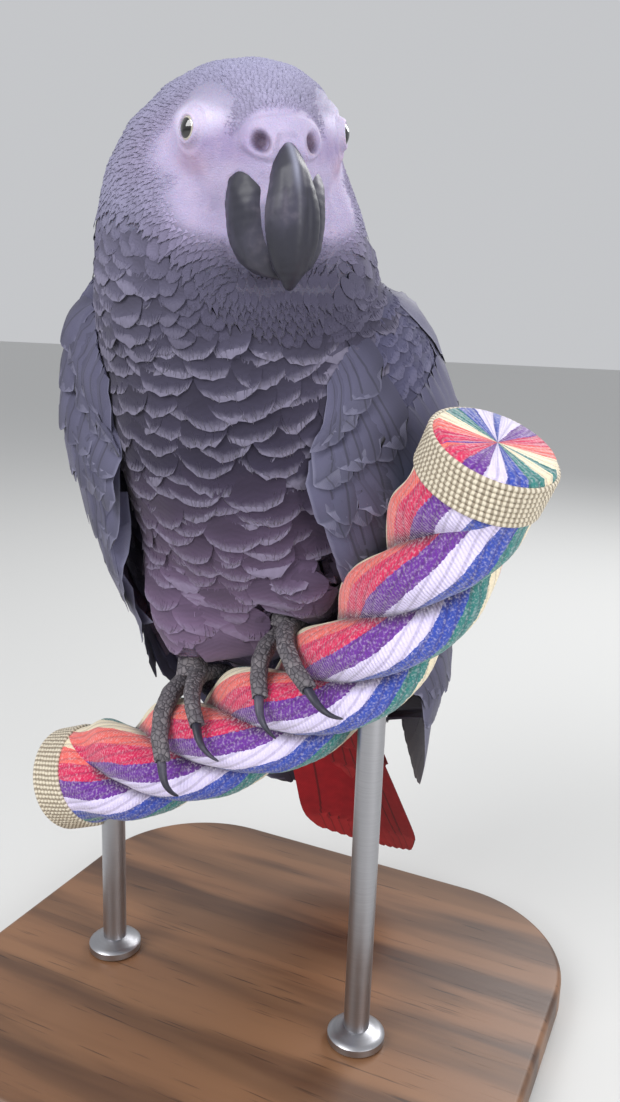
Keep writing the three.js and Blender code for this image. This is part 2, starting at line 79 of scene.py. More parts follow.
BIRD_AT = np.array((0, -13, 112))  # the bird's own origin, between its feet on the rope, in mm
HEAD_AT = np.array(Vector((8.8, -33, 273.5)))  # the middle of the skull, in mm
HEAD_TURN = np.array(Euler([math.radians(a) for a in (14, -3, 42.5)], "XYZ").to_matrix())
EYE_AT, EYE_RADIUS, LID_OPENING = (15.7, -13.2, 4.2), 4.7, 2.6  # the left eye on the head, in mm
EYE_WAY = np.array(Vector((0.9, -0.4, 0.13)).normalized())  # the way it looks
CHIN_AT = (0, -26, -16)  # on the head, under the bill
NOSTRIL = (5.7, 3.6)  # how far from the middle, and how high
FINE_FACE = ((-27, 27), (-38, 3), (-20, 14))  # lowest and highest x, y and z on the head
rng = np.random.default_rng(20)


def only(*objects):
    """Selects these objects and no other, the first of them active."""
    bpy.ops.object.select_all(action="DESELECT")
    for o in objects:
        o.select_set(True)
    bpy.context.view_layer.objects.active = objects[0]


@contextlib.contextmanager
def editing(o, chosen="SELECT"):
    """Edit mode on one object, with all of its mesh selected, or none of it."""
    only(o)
    bpy.ops.object.mode_set(mode="EDIT")
    bpy.ops.mesh.select_all(action=chosen)
    yield
    bpy.ops.object.mode_set(mode="OBJECT")


def copy_of(node, name):
    """A new object with a merged copy of a frame part's mesh."""
    o = put(name, nodes[node].data.copy())
    o.data.materials.clear()
    with editing(o):
        bpy.ops.mesh.remove_doubles(threshold=0.01 * MM)
    return o


def tree_of(node):
    """A frame part's surface, to find the nearest place on."""
    me = nodes[node].data
    return bvhtree.BVHTree.FromPolygons([v.co for v in me.vertices], [p.vertices for p in me.polygons])


def modify(o, kind, **settings):
    """Adds a modifier with these settings and applies it."""
    modifier = o.modifiers.new(kind.lower(), kind)
    for key, value in settings.items():
        setattr(modifier, key, value)
    only(o)
    bpy.ops.object.modifier_apply(modifier=modifier.name)


def fused(names, name, voxel, swell, smooth):
    """Copies of frame parts swelled, joined and made one closed, smooth shell."""
    copies = [copy_of(n, name) for n in names]
    for o in copies:
        with editing(o):
            bpy.ops.transform.shrink_fatten(value=swell)
    only(*copies)
    if len(copies) > 1:
        bpy.ops.object.join()
    o = copies[0]
    o.name = name
    modify(o, "REMESH", mode="VOXEL", voxel_size=voxel, use_smooth_shade=True)
    modify(o, "SMOOTH", factor=0.5, iterations=smooth)
    return o


def points_of(o):
    """A mesh's places in metres, one row to each point."""
    co = np.empty(len(o.data.vertices) * 3)
    o.data.vertices.foreach_get("co", co)
    return co.reshape(-1, 3)


def set_points(o, co):
    o.data.vertices.foreach_set("co", np.ascontiguousarray(co, float).ravel())
    o.data.update()


def normals_of(o):
    normals = np.empty(len(o.data.vertices) * 3)
    o.data.vertex_normals.foreach_get("vector", normals)
    return normals.reshape(-1, 3)


def tell(o, key, values):
    """Writes a number or a colour to each of a mesh's points, for its finish to read."""
    colour = values.ndim == 2
    layer = o.data.attributes.new(key, "FLOAT_COLOR" if colour else "FLOAT", "POINT")
    if colour:
        values = np.concatenate([values, np.ones((len(values), 1))], 1)
    layer.data.foreach_set("color" if colour else "value", values.ravel())


def ramp(value, low, high):
    """0 below low, 1 above high, with a soft passage between them. Low may be the larger."""
    share = np.clip((value - low) / (high - low), 0, 1)
    return share * share * (3 - 2 * share)


def on_head(co):
    """Places in metres as places in mm from the skull's middle, with the bill towards -Y."""
    return (co / MM - HEAD_AT) @ HEAD_TURN


def from_head(places):
    """Places in mm from the skull's middle as places in metres."""
    return (places @ HEAD_TURN.T + HEAD_AT) * MM


def on_bird(co):
    """Places in metres as places in mm from the bird's own origin."""
    return co / MM - BIRD_AT


def bare_face(co, low=0.88, high=1.08):
    """1 on the bare skin between bill and eye and round the eye, 0 on the feathered skin, by place."""
    x, y, z = on_head(co).T
    eye = np.hypot((y + 14.5) / 11.5, (z - 1.5) / 8.5)
    cheek = np.hypot((y + 21) / 11, (z + 8) / 11)
    lore = np.hypot((y + 29) / 9, (z + 2) / 7.5)
    nose = np.hypot(x / 13, (z - 4.5) / 6) + ramp(y, -28, -22)
    near = np.minimum(np.minimum(eye, cheek), np.minimum(lore, nose))
    return 1 - ramp(near, low, high)


def ridge(value, middle, width):
    """1 where a value is in the middle of a soft ridge, and 0 well away from it."""
    return np.exp(-(((value - middle) / width) ** 2))


def eye_on(side):
    """The eye's middle on one side of the head, and the way that it looks."""
    mirror = np.array((side, 1, 1))
    return mirror * EYE_AT, mirror * EYE_WAY


# The plain form, from which the skin is sunk and on which all feathers are laid.
skin = fused(FLESH + FILLERS, "skin", SKIN_VOXEL, SKIN_SWELL, 6)
form_points = points_of(skin)
form_normals = normals_of(skin)
form_faces = np.array([p.vertices for p in skin.data.polygons])
form_tree = bvhtree.BVHTree.FromPolygons(form_points.tolist(), form_faces.tolist())

# The face is made finer before its lids and folds are drawn up.
only(skin)
low, high = np.array(FINE_FACE).T
fine = ((on_head(form_points) > low) & (on_head(form_points) < high)).all(1).tolist()
for vertex, chosen in zip(skin.data.vertices, fine):
    vertex.select = chosen
for cell in (*skin.data.edges, *skin.data.polygons):
    cell.select = all(fine[i] for i in cell.vertices)
bpy.ops.object.mode_set(mode="EDIT")
bpy.ops.mesh.select_mode(type="FACE")
bpy.ops.mesh.subdivide(number_cuts=3, smoothness=1)
bpy.ops.mesh.vertices_smooth(factor=0.5, repeat=3)
bpy.ops.object.mode_set(mode="OBJECT")

co = points_of(skin)
normals = normals_of(skin)
bare = bare_face(co, 0.95, 1.45)
on_skull = ramp(on_bird(co)[:, 2], 118, 140)
from_chin = np.linalg.norm(on_head(co) - CHIN_AT, axis=1)
on_skull = np.maximum(on_skull, ramp(from_chin, 32, 20))
depth = COAT_DEPTH + (HEAD_DEPTH - COAT_DEPTH) * on_skull
depth = depth + (BARE_DEPTH - depth) * bare
for i in np.nonzero(on_skull < 1)[0]:
    start = Vector(co[i] - normals[i] * 0.1 * MM)
    hit = form_tree.ray_cast(start, Vector(-normals[i]), 30 * MM)
    if hit[0] is not None:
        depth[i] = min(depth[i], THIN_SHARE * hit[3] / MM)
co -= normals * (depth[:, None] * MM + SKIN_SWELL)

# Where the bill stands, the skin goes under it, but for the soft cere over its root.
bill_trees = [tree_of("bill_upper"), tree_of("bill_lower")]
places = on_head(co)
x, y, z = places.T
cere = 1 - ramp(np.hypot(x / 11, (z - 4.2) / 5), 0.8, 1.05)
cere_foot = 5.2 - 5.5 * ramp(np.abs(x), 1.6, 4.2)  # it leaves the root of the bill's ridge free
cere = cere * ramp(z, cere_foot - 0.8, cere_foot + 0.8) * (1 - ramp(y, -28, -24))
lift = np.zeros(len(co))
for i in np.nonzero(y < -12)[0]:
    for tree in bill_trees:
        at, way, _, far = tree.find_nearest(Vector(co[i]), 3 * MM)
        if at is not None:
            inside = (Vector(co[i]) - at).dot(way) < 0
            gap = -far / MM if inside else far / MM
            lift[i] = min(lift[i], -1.3 * (1 - ramp(gap, -0.8, 0.5)))
lift = lift * (1 - cere) + cere * 0.9
for side in (-1, 1):
    nostril = np.hypot(x - side * NOSTRIL[0], (z - NOSTRIL[1]) / 1.2)
    front = 1 - ramp(y, -30, -26)
    lift += front * (0.22 * ridge(nostril, 2.6, 0.7) - 2.6 * (1 - ramp(nostril, 0.9, 2.0)))
# A swelling over each eye, a fold below it and fine creases over the bare skin.
brow = np.hypot((y + 15) / 7.5, (z - 10.6) / 2.6)
lift += 0.9 * (1 - ramp(brow, 0.2, 1.1)) * (np.abs(x) > 6)
co += normals * (lift[:, None] * MM)
places = on_head(co)
for side in (-1, 1):
    centre, way = eye_on(side)
    away = places - centre
    height = away @ way
    flat = away - height[:, None] * way
    radius = np.linalg.norm(flat, axis=1)
    near = (radius < 12) & (height > -4)
    ball = np.sqrt(np.maximum(0, (EYE_RADIUS + 0.4) ** 2 - radius**2))
    swelling = height + 1.1 * (1 - ramp(radius, 3.5, 11))
    rim = np.maximum(ball, swelling)
    rim += 0.3 * ridge(radius, LID_OPENING + 0.7, 0.4)
    for rise, ring, width in ((-0.22, 4.7, 0.5), (0.12, 5.6, 0.55), (-0.07, 6.7, 0.5)):
        rim += rise * ridge(radius, ring, width)
    rim = height + (rim - height) * (1 - ramp(radius, 8, 11.5))
    sunk = np.sqrt(np.maximum(0, EYE_RADIUS**2 - radius**2)) - 1.0
    rim = sunk + (rim - sunk) * ramp(radius, LID_OPENING - 0.2, LID_OPENING + 0.2)
    places[near] += ((rim - height)[:, None] * way)[near]
co = from_head(places)
set_points(skin, co)
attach(skin, "root")
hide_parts(*FLESH)


def linear(*rgb):
    """A colour given in 0 to 255 steps of a screen, as light."""
    share = np.array(rgb, float) / 255
    return np.where(share <= 0.04045, share / 12.92, ((share + 0.055) / 1.055) ** 2.4)


class Wire:
    """A value in a material, which can be used in sums as a number is."""

    def __init__(self, paint, socket):
        self.paint, self.socket = paint, socket

    def sum(self, operation, *values):
        return self.paint.node("Math", {"operation": operation}, dict(enumerate(values)))

    def __add__(self, other):
        return self.sum("ADD", self, other)

    def __sub__(self, other):
        return self.sum("SUBTRACT", self, other)

    def __rsub__(self, other):
        return self.sum("SUBTRACT", other, self)

    def __mul__(self, other):
        return self.sum("MULTIPLY", self, other)

    def __truediv__(self, other):
        return self.sum("DIVIDE", self, other)

    def __pow__(self, other):
        return self.sum("POWER", self, other)

    __radd__, __rmul__ = __add__, __mul__

    def washed(self, share, *rgb):
        """This colour with a share of another one laid over it."""
        return self.paint.mix(share, self, linear(*rgb))

    def wave(self):
        return self.sum("SINE", self)

    def size(self):
        return self.sum("ABSOLUTE", self)


class Paint:
    """A finish: its nodes, and the shader that they feed."""

    def __init__(self, name):
        self.material = bpy.data.materials.new(name)
        self.material.use_nodes = True
        self.tree = self.material.node_tree
        self.shader = self.tree.nodes["Principled BSDF"]

    def node(self, kind, settings, values, output=0):
        made = self.tree.nodes.new("ShaderNode" + kind)
        for key, value in settings.items():
            if key == "stops":
                self.set_stops(made.color_ramp, value)
            else:
                setattr(made, key, value)
        for key, value in values.items():
            self.feed(made.inputs[key], value)
        return Wire(self, made.outputs[output])

    def set_stops(self, scale, stops):
        scale.interpolation = "CONSTANT"
        for _ in stops[2:]:
            scale.elements.new(0.5)
        for element, (place, colour) in zip(scale.elements, stops):
            element.position = place
            element.color = (*colour, 1)

    def feed(self, socket, value):
        if isinstance(value, Wire):
            self.tree.links.new(value.socket, socket)
        else:
            socket.default_value = value

    def place(self):
        return self.node("TexCoord", {}, {}, "Object")

    def said(self, attribute, output="Fac"):
        return self.node("Attribute", {"attribute_name": attribute}, {}, output)

    def part(self, vector, axis):
        return self.node("SeparateXYZ", {}, {0: vector}, axis)

    def noise(self, vector, scale, detail=3):
        return self.node("TexNoise", {}, {"Vector": vector, "Scale": scale, "Detail": detail})

    def cells(self, vector, scale, feature="F1", output=0):
        return self.node("TexVoronoi", {"feature": feature}, {"Vector": vector, "Scale": scale}, output)

    def band(self, value, low, high):
        ends = {"Value": value, "From Min": low, "From Max": high}
        return self.node("MapRange", {"interpolation_type": "SMOOTHSTEP"}, ends)

    def mix(self, share, a, b):
        a, b = ((*c, 1) if not isinstance(c, Wire) and len(c) == 3 else c for c in (a, b))
        return self.node("Mix", {"data_type": "RGBA"}, {0: share, 6: a, 7: b}, 2)

    def bump(self, height, strength, distance):
        return self.node("Bump", {}, {"Height": height, "Strength": strength, "Distance": distance})

    def finish(self, *pieces, **sockets):
        for key, value in sockets.items():
            self.feed(self.shader.inputs[key.replace("_", " ")], value)
        for o in pieces:
            o.data.materials.clear()
            o.data.materials.append(self.material)


# Markings of skin and coat alike: from the pale brow over the grey nape to the dark breast and wings, with
# a pale rump and vent and a white face. Each table goes up the bird, or from brow to nape.
FACE_TONE, BROW_TONE = linear(172, 161, 195), linear(208, 200, 228)
CHEEK_TONE = linear(137, 131, 158)
DOWN_FRONT = (
    (-60, (172, 168, 184)), (-10, (156, 148, 170)), (10, (140, 120, 148)), (40, (108, 88, 116)),
    (90, (49, 44, 63)), (120, (68, 65, 84)), (142, (99, 96, 119)), (160, (118, 115, 139)),
)
DOWN_BACK = ((-40, (168, 168, 184)), (25, (142, 141, 158)), (60, (82, 81, 100)), (130, (90, 89, 110)))
OVER_SKULL = ((-34, (192, 187, 219)), (-12, (168, 166, 198)), (12, (140, 138, 165)), (34, (112, 110, 134)))
TRUNK_LINE = (
    (-46, -29, -10, 10, 32, 57, 82, 107, 129, 148, 164),
    (70, 64, 56, 47, 37, 26, 15, 4, -6, -12, -14),
)  # heights, and how far back the trunk's middle line lies there


def stepped(value, steps):
    """A colour for each value, softly passing between (value, colour) steps."""
    at = [s[0] for s in steps]
    colours = np.array([linear(*s[1]) for s in steps])
    return np.stack([np.interp(value, at, colours[:, i]) for i in range(3)], 1)


def markings(co):
    """The plumage's own colour by place."""
    bird = on_bird(co)
    skull = on_head(co)
    height = bird[:, 2]
    behind = bird[:, 1] - np.interp(height, *TRUNK_LINE)
    down = stepped(height, DOWN_FRONT)
    on_back = (ramp(behind, 6, 22) * ramp(np.abs(bird[:, 0]), 36, 22))[:, None]
    colour = down + (stepped(height, DOWN_BACK) - down) * on_back
    on_top = (ramp(height, 138, 158) * ramp(skull[:, 2], -26, -12))[:, None]
    colour += (stepped(skull[:, 1], OVER_SKULL) - colour) * on_top
    cheek = ramp(np.hypot((skull[:, 1] + 14) / 24, (skull[:, 2] + 1) / 19), 1.3, 0.5)[:, None]
    colour += (CHEEK_TONE - colour) * cheek * on_top
    bare = np.maximum(bare_face(co, 0.8, 1.3), 0.45 * bare_face(co, 0.8, 1.7))
    return colour + (face_tone(co) - colour) * bare[:, None]


def face_tone(co):
    """The bare face: whitest over the eye, pale on the cere, and a little darker between them."""
    x, y, z = on_head(co).T
    brow = 1 - ramp(np.hypot((y + 14) / 10, (z - 8) / 6), 0.5, 1.2)
    nose = (1 - ramp(np.hypot(x / 12, (z - 5.5) / 5), 0.6, 1.2)) * (1 - ramp(y, -27, -22))
    lore = 1 - ramp(np.hypot((y + 24) / 9, (z - 3) / 5), 0.4, 1.3)
    share = np.maximum(brow, 0.2 * nose) - 0.5 * lore
    return FACE_TONE + (BROW_TONE - FACE_TONE) * share[:, None]


tones = markings(co)
# The skin under the coat is painted darker than the feathers over it, as painted shade under them; on the
# skull only a little darker.
tones *= 0.55 + 0.4 * on_skull[:, None]
for side in (-1, 1):
    # A grey lid rim, a darker, pinker patch under the eye, and the nostril pit painted dark as painted
    # shade in it.
    centre = eye_on(side)[0]
    far = np.linalg.norm(places - centre, axis=1)
    rim = 0.25 * ridge(far, 5.2, 0.5)
    below = np.linalg.norm((places - centre - (0, -1, -6.5)) / (9, 7, 4.5), axis=1)
    pink = 0.6 * (1 - ramp(below, 0.2, 1.2))
    nostril = np.hypot(places[:, 0] - side * NOSTRIL[0], (places[:, 2] - NOSTRIL[1]) / 1.2)
    # The nostril pit is painted dark: painted shade in the hole.
    dark = (1 - ramp(nostril, 1.1, 2.3)) * (1 - ramp(places[:, 1], -29, -25))
    for share, rgb in ((rim, (168, 152, 176)), (pink, (158, 128, 156)), (dark, (92, 76, 100))):
        tones += (linear(*rgb) - tones) * share[:, None]
tell(skin, "tone", tones)
tell(skin, "bareness", bare_face(co))

paint = Paint("bare_skin")
place = paint.place()
pores = paint.cells(place, 1500, "DISTANCE_TO_EDGE")
folds = paint.noise(place, 260, 4)
creases = paint.cells(place, 620, "DISTANCE_TO_EDGE")
height = paint.band(pores, 0, 0.25) * 0.3 + folds * 0.9 + paint.band(creases, 0, 0.2) * 0.15
flush = paint.band(folds, 0.35, 0.7) * paint.said("bareness") * 0.12
tone = paint.said("tone", "Color").washed(flush, 222, 200, 216)
# The fine creases are painted a little darker: painted shade in them.
tone = tone.washed(paint.band(creases, 0.12, 0) * 0.06, 150, 132, 156)
paint.finish(
    skin,
    Base_Color=tone,
    Roughness=0.52 + folds * 0.2,
    Normal=paint.bump(height, 0.55, 0.35 * MM),
    Subsurface_Weight=0.12,
    Subsurface_Scale=1.5 * MM,
    Specular_IOR_Level=0.4,
)

# ---------------------------------------------------------------- body feathers
# The coat: small stiff vanes on brow and cheeks, longer ones down the neck, and broad soft contour feathers
# with pale edges on breast, belly and back. Each is rooted in the skin and lies over the ones behind it.
FAN_AT = (-24, -30)  # y and z on the head of the line that the coat's lie turns round
WING_LINE = (
    (-54, -44, -22, 3, 30, 57, 81, 101, 115, 123),
    (26, 28.5, 34.5, 41.5, 47, 53, 53.5, 51, 44, 34),
    (80, 77, 70, 60, 51, 33, 20, 8, -2, -9),
)  # heights, and the wing's distance aside and back there


def unit(vectors):
    """Each row scaled to length 1."""
    return vectors / np.maximum(np.linalg.norm(vectors, axis=1, keepdims=True), 1e-9)


def near_parts(co, names, far):
    """Which places lie within far of one of these frame parts."""
    found = np.zeros(len(co), bool)
    for name in names:
        tree = tree_of(name)
        for i in np.nonzero(~found)[0]:
            found[i] = tree.find_nearest(Vector(co[i]), far)[0] is not None
    return found


def body_lie(co):
    """The way the coat lies on head, neck and trunk: back over the skull, then down and under."""
    skull = on_head(co)
    away = skull[:, 1:] - FAN_AT
    turn = np.degrees(np.arctan2(away[:, 0], away[:, 1]))
    on_skull = np.where(turn > 0, ramp(turn, 100, 62), ramp(turn, -100, -70))
    over = np.stack([np.zeros(len(co)), away[:, 1], -away[:, 0]], 1)
    over = unit(over) @ HEAD_TURN.T
    bird = on_bird(co)
    lean = np.interp(bird[:, 2], TRUNK_LINE[0], np.gradient(TRUNK_LINE[1], TRUNK_LINE[0]))
    down = unit(np.stack([np.zeros(len(co)), -lean, -np.ones(len(co))], 1))
    lie = unit(over * on_skull[:, None] + down * (1 - on_skull)[:, None])
    rank = on_skull * np.radians(turn) * 45 + (1 - on_skull) * (213 - bird[:, 2])
    return lie, rank


def wing_lie(co):
    """The way the coat lies on a wing: from the wrist to the tip."""
    bird = on_bird(co)
    heights, xs, ys = (np.array(a, float) for a in WING_LINE)
    dx = np.interp(bird[:, 2], heights, np.gradient(xs, heights)) * np.sign(bird[:, 0])
    dy = np.interp(bird[:, 2], heights, np.gradient(ys, heights))
    down = unit(np.stack([-dx, -dy, -np.ones(len(co))], 1))
    return down, 130 - bird[:, 2]


def scattered(density, keep):
    """Places strewn over the body's form, so many to the square millimetre, with their outward ways."""
    corners = form_points[form_faces]
    across_faces = np.cross(corners[:, 2] - corners[:, 0], corners[:, 3] - corners[:, 1])
    area = np.linalg.norm(across_faces, axis=1) / 2
    expected = area / MM**2 * density * keep
    count = np.floor(expected + rng.random(len(area))).astype(int)
    chosen = np.repeat(np.arange(len(area)), count)
    s, t = rng.random((2, len(chosen)))
    shares = np.stack([(1 - s) * (1 - t), s * (1 - t), s * t, (1 - s) * t], 1)[:, :, None]
    co = (form_points[form_faces[chosen]] * shares).sum(1)
    return co, unit((form_normals[form_faces[chosen]] * shares).sum(1))


def spaced(co, normals, lie, rank, along, across, cell):
    """Picks places in the order of rank so that no two are nearer than along and across, in mm."""
    places = co / MM
    side = np.cross(lie, normals)
    order = np.argsort(rank + rng.random(len(rank)) * 1.2)
    grid, picked = {}, []
    keys = np.floor(places / cell).astype(int)
    near = [(i, j, k) for i in (-1, 0, 1) for j in (-1, 0, 1) for k in (-1, 0, 1)]
    spots = places.tolist()
    lies, sides, outs = lie.tolist(), side.tolist(), normals.tolist()
    alongs, acrosses = along.tolist(), across.tolist()
    for i in order:
        px, py, pz = spots[i]
        lx, ly, lz = lies[i]
        sx, sy, sz = sides[i]
        nx, ny, nz = outs[i]
        a, b = alongs[i], acrosses[i]
        kx, ky, kz = keys[i]
        free = True
        for dx, dy, dz in near:
            for qx, qy, qz, ox, oy, oz in grid.get((kx + dx, ky + dy, kz + dz), ()):
                ex, ey, ez = px - qx, py - qy, pz - qz
                f = (ex * lx + ey * ly + ez * lz) / a
                g = (ex * sx + ey * sy + ez * sz) / b
                if f * f + g * g < 1 and nx * ox + ny * oy + nz * oz > 0:
                    free = False
                    break
            if not free:
                break
        if free:
            picked.append(i)
            grid.setdefault((kx, ky, kz), []).append((px, py, pz, nx, ny, nz))
    return np.array(picked, int)


def vane_faces(rows, columns):
    """The faces of one closed vane: a cupped upper side, a flat under side and two end caps."""
    at = lambda j, i: j * (columns + 1) + i
    cells = [(j, i) for j in range(rows) for i in range(columns)]
    faces = [[at(j, i), at(j, i + 1), at(j + 1, i + 1), at(j + 1, i)] for j, i in cells]
    faces += [[at(j, 0), at(j + 1, 0), at(j + 1, columns), at(j, columns)] for j in range(rows)]
    faces.append([at(0, i) for i in range(columns, -1, -1)])
    faces.append([at(rows, i) for i in range(columns + 1)])
    return faces


def vane_grid(rows, columns):
    """Shares along and across a vane at each point of its grid."""
    v = np.linspace(0, 1, rows + 1)[:, None] * np.ones(columns + 1)
    return v, np.ones((rows + 1, 1)) * np.linspace(-1, 1, columns + 1)


def vane_outline(rows, columns, tip_width, tip_round, root_width=0.35, widest=0.6):
    """A vane's shares along and across, and where each point lies on one of length and width 1."""
    v, c = vane_grid(rows, columns)
    rise = root_width + (1 - root_width) * np.sin(np.minimum(1, v / widest) * np.pi / 2)
    fall = np.sqrt(1 - np.clip((v - widest) / (1 - widest), 0, 1) ** 2 * (1 - tip_width**2))
    width = rise * fall
    ahead = v * (1 - tip_round * c**2) - 0.05 * (1 - v) * (1 - c * c)
    return v.ravel(), c.ravel(), ahead.ravel(), (c * width).ravel()


def smooth_faces(me):
    me.polygons.foreach_set("use_smooth", np.ones(len(me.polygons), bool))


def joined_vanes(name, co, uv, patch, faces, per_vane):
    """One mesh of many like vanes. co is vanes x points x 3, and per_vane holds what each vane is told."""
    count, points = co.shape[:2]
    me = bpy.data.meshes.new(name)
    sizes = np.array([len(f) for f in faces])
    flat = np.concatenate(faces)
    me.vertices.add(count * points)
    me.vertices.foreach_set("co", np.ascontiguousarray(co).ravel())
    me.loops.add(count * len(flat))
    loops = (flat[None, :] + np.arange(count)[:, None] * points).ravel()
    me.loops.foreach_set("vertex_index", loops)
    me.polygons.add(count * len(faces))
    starts = np.concatenate([[0], np.cumsum(sizes)[:-1]])
    me.polygons.foreach_set("loop_start", (starts[None, :] + np.arange(count)[:, None] * len(flat)).ravel())
    smooth_faces(me)
    me.update(calc_edges=True)
    uv = uv[:, flat] if uv.ndim == 3 else np.tile(uv[flat], (count, 1))
    me.uv_layers.new(name="vane").data.foreach_set("uv", np.ascontiguousarray(uv).ravel())
    me.uv_layers.new(name="OFBake").data.foreach_set("uv", patch[:, flat].ravel())
    o = put(name, me)
    for key, values in per_vane.items():
        tell(o, key, np.repeat(values, points, axis=0))
    return o


def crease_rims(o, rows, columns):
    """Keeps the shading of the upper side of each vane apart from its under side."""
    points = (rows + 1) * (columns + 1)
    ends = np.empty(len(o.data.edges) * 2, int)
    o.data.edges.foreach_get("vertices", ends)
    a, b = (ends % points).reshape(-1, 2).T
    ja, ia, jb, ib = a // (columns + 1), a % (columns + 1), b // (columns + 1), b % (columns + 1)
    long_sides = (ia == ib) & ((ia == 0) | (ia == columns))
    short_sides = (ja == jb) & ((ja == 0) | (ja == rows)) & (np.abs(ia - ib) == 1)
    sharp = o.data.attributes.new("sharp_edge", "BOOLEAN", "EDGE")
    sharp.data.foreach_set("value", long_sides | short_sides)


PATCH_SIZE, MAP_FOOT, MAP_HEIGHT = 0.003, -60, 250  # of a vane on the OFBake map, and the mm that it spans
VANE_YAW = 0.06  # radians, how unevenly the vanes lie
SLIP_THICK, SLIP_RINGS = 0.12 * MM, (0, 0.55, 1)  # a fringe slip's height, and where it is measured out


def coat_middle(roots):
    """OFBake places of the vanes' roots: the body unrolled round a line through it."""
    at = on_bird(roots)
    turn = np.arctan2(at[:, 0], at[:, 1] - np.interp(at[:, 2], *TRUNK_LINE)) / (2 * np.pi) + 0.5
    rise = (at[:, 2] - MAP_FOOT) / MAP_HEIGHT
    return 0.01 + 0.98 * np.clip(np.stack([turn, rise], 1), 0, 1)


def lay_feathers(
    name, co, normals, lie, size, lift, told,
    grid, sink, camber, ragged, shape, fringe_of, ruffle=0.0, bend=0.3,
):
    """Lays one vane at each place, bent to the body's form, its root sunk in the coat and its tip lifted.

    fringe_of holds the slips to a vane, how far they pass it, their width and how high they stand.
    """
    rows, columns = grid
    v, c, ahead, aside = vane_outline(rows, columns, **shape)
    # Each vane is a small patch of the OFBake map at its root's place.
    own_patch = np.stack([aside * 0.5, ahead - 0.5], 1) * PATCH_SIZE
    count = len(co)
    length, width = size[:, :1] * MM, size[:, 1:] * MM
    torn = rng.normal(0, ragged, (count, columns + 1))[:, np.tile(np.arange(columns + 1), rows + 1)]
    ahead = ahead * (1 + torn * v**2)
    lie = unit(lie - normals * (lie * normals).sum(1, keepdims=True))
    yaw = rng.normal(0, VANE_YAW, count)[:, None]
    side = np.cross(lie, normals)
    lie, side = lie * np.cos(yaw) + side * np.sin(yaw), side * np.cos(yaw) - lie * np.sin(yaw)
    root = co - normals * (sink * MM)
    flat = root[:, None, :] + lie[:, None, :] * (ahead * length)[:, :, None]
    flat = flat + side[:, None, :] * (aside * width / 2)[:, :, None]
    tip = np.nonzero((v == 1) & (np.abs(c) < 1e-6))[0][0]
    bed, ways = np.empty_like(flat), np.empty_like(flat)
    for i in range(count):
        for k, place in enumerate(flat[i].tolist()):
            bed[i, k], ways[i, k] = form_tree.find_nearest(place)[:2]
    # A vane that would bend round a sharp edge, or bridge a gap, is left out.
    kept = (ways * normals[:, None, :]).sum(2).min(1) > bend
    before = (normals, bed, ways[:, tip], size, root, width, lift[:, None])
    normals, bed, tip_way, size, root, width, lift = (a[kept] for a in before)
    count = len(root)
    told = {key: values[kept] for key, values in told.items()}
    out = normals[:, None, :] * (1 - v)[None, :, None] + tip_way[:, None, :] * v[None, :, None]
    out = unit(out.reshape(-1, 3)).reshape(count, -1, 3)
    rise = lift * v**1.3 * (1 + ruffle * rng.normal(0, 1, (count, 1)))
    rise = rise + rng.normal(0, 0.1, (count, 1)) * c * v * width / MM * 0.2
    rise = rise * MM + camber * width * (1 - c * c) * np.sin(np.pi * np.clip(v * 0.85 + 0.1, 0, 1))
    co = bed + out * (rise - (SKIN_SWELL + sink * MM))[:, :, None]
    chance = {"chance": rng.random(count)}
    patch = coat_middle(root)[:, None, :] + own_patch
    uv = np.stack([(c + 1) / 2, v], 1)
    o = joined_vanes(name, co, uv, patch, vane_faces(rows, columns), told | chance)
    crease_rims(o, rows, columns)
    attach(o, "root")
    barbs, reach, sliver, raised = fringe_of
    out = unit(normals + tip_way)
    fine = fringe(name + "_fringe", co, out, grid, root, told, barbs, reach, sliver * size[:, 1], raised)
    return o, fine


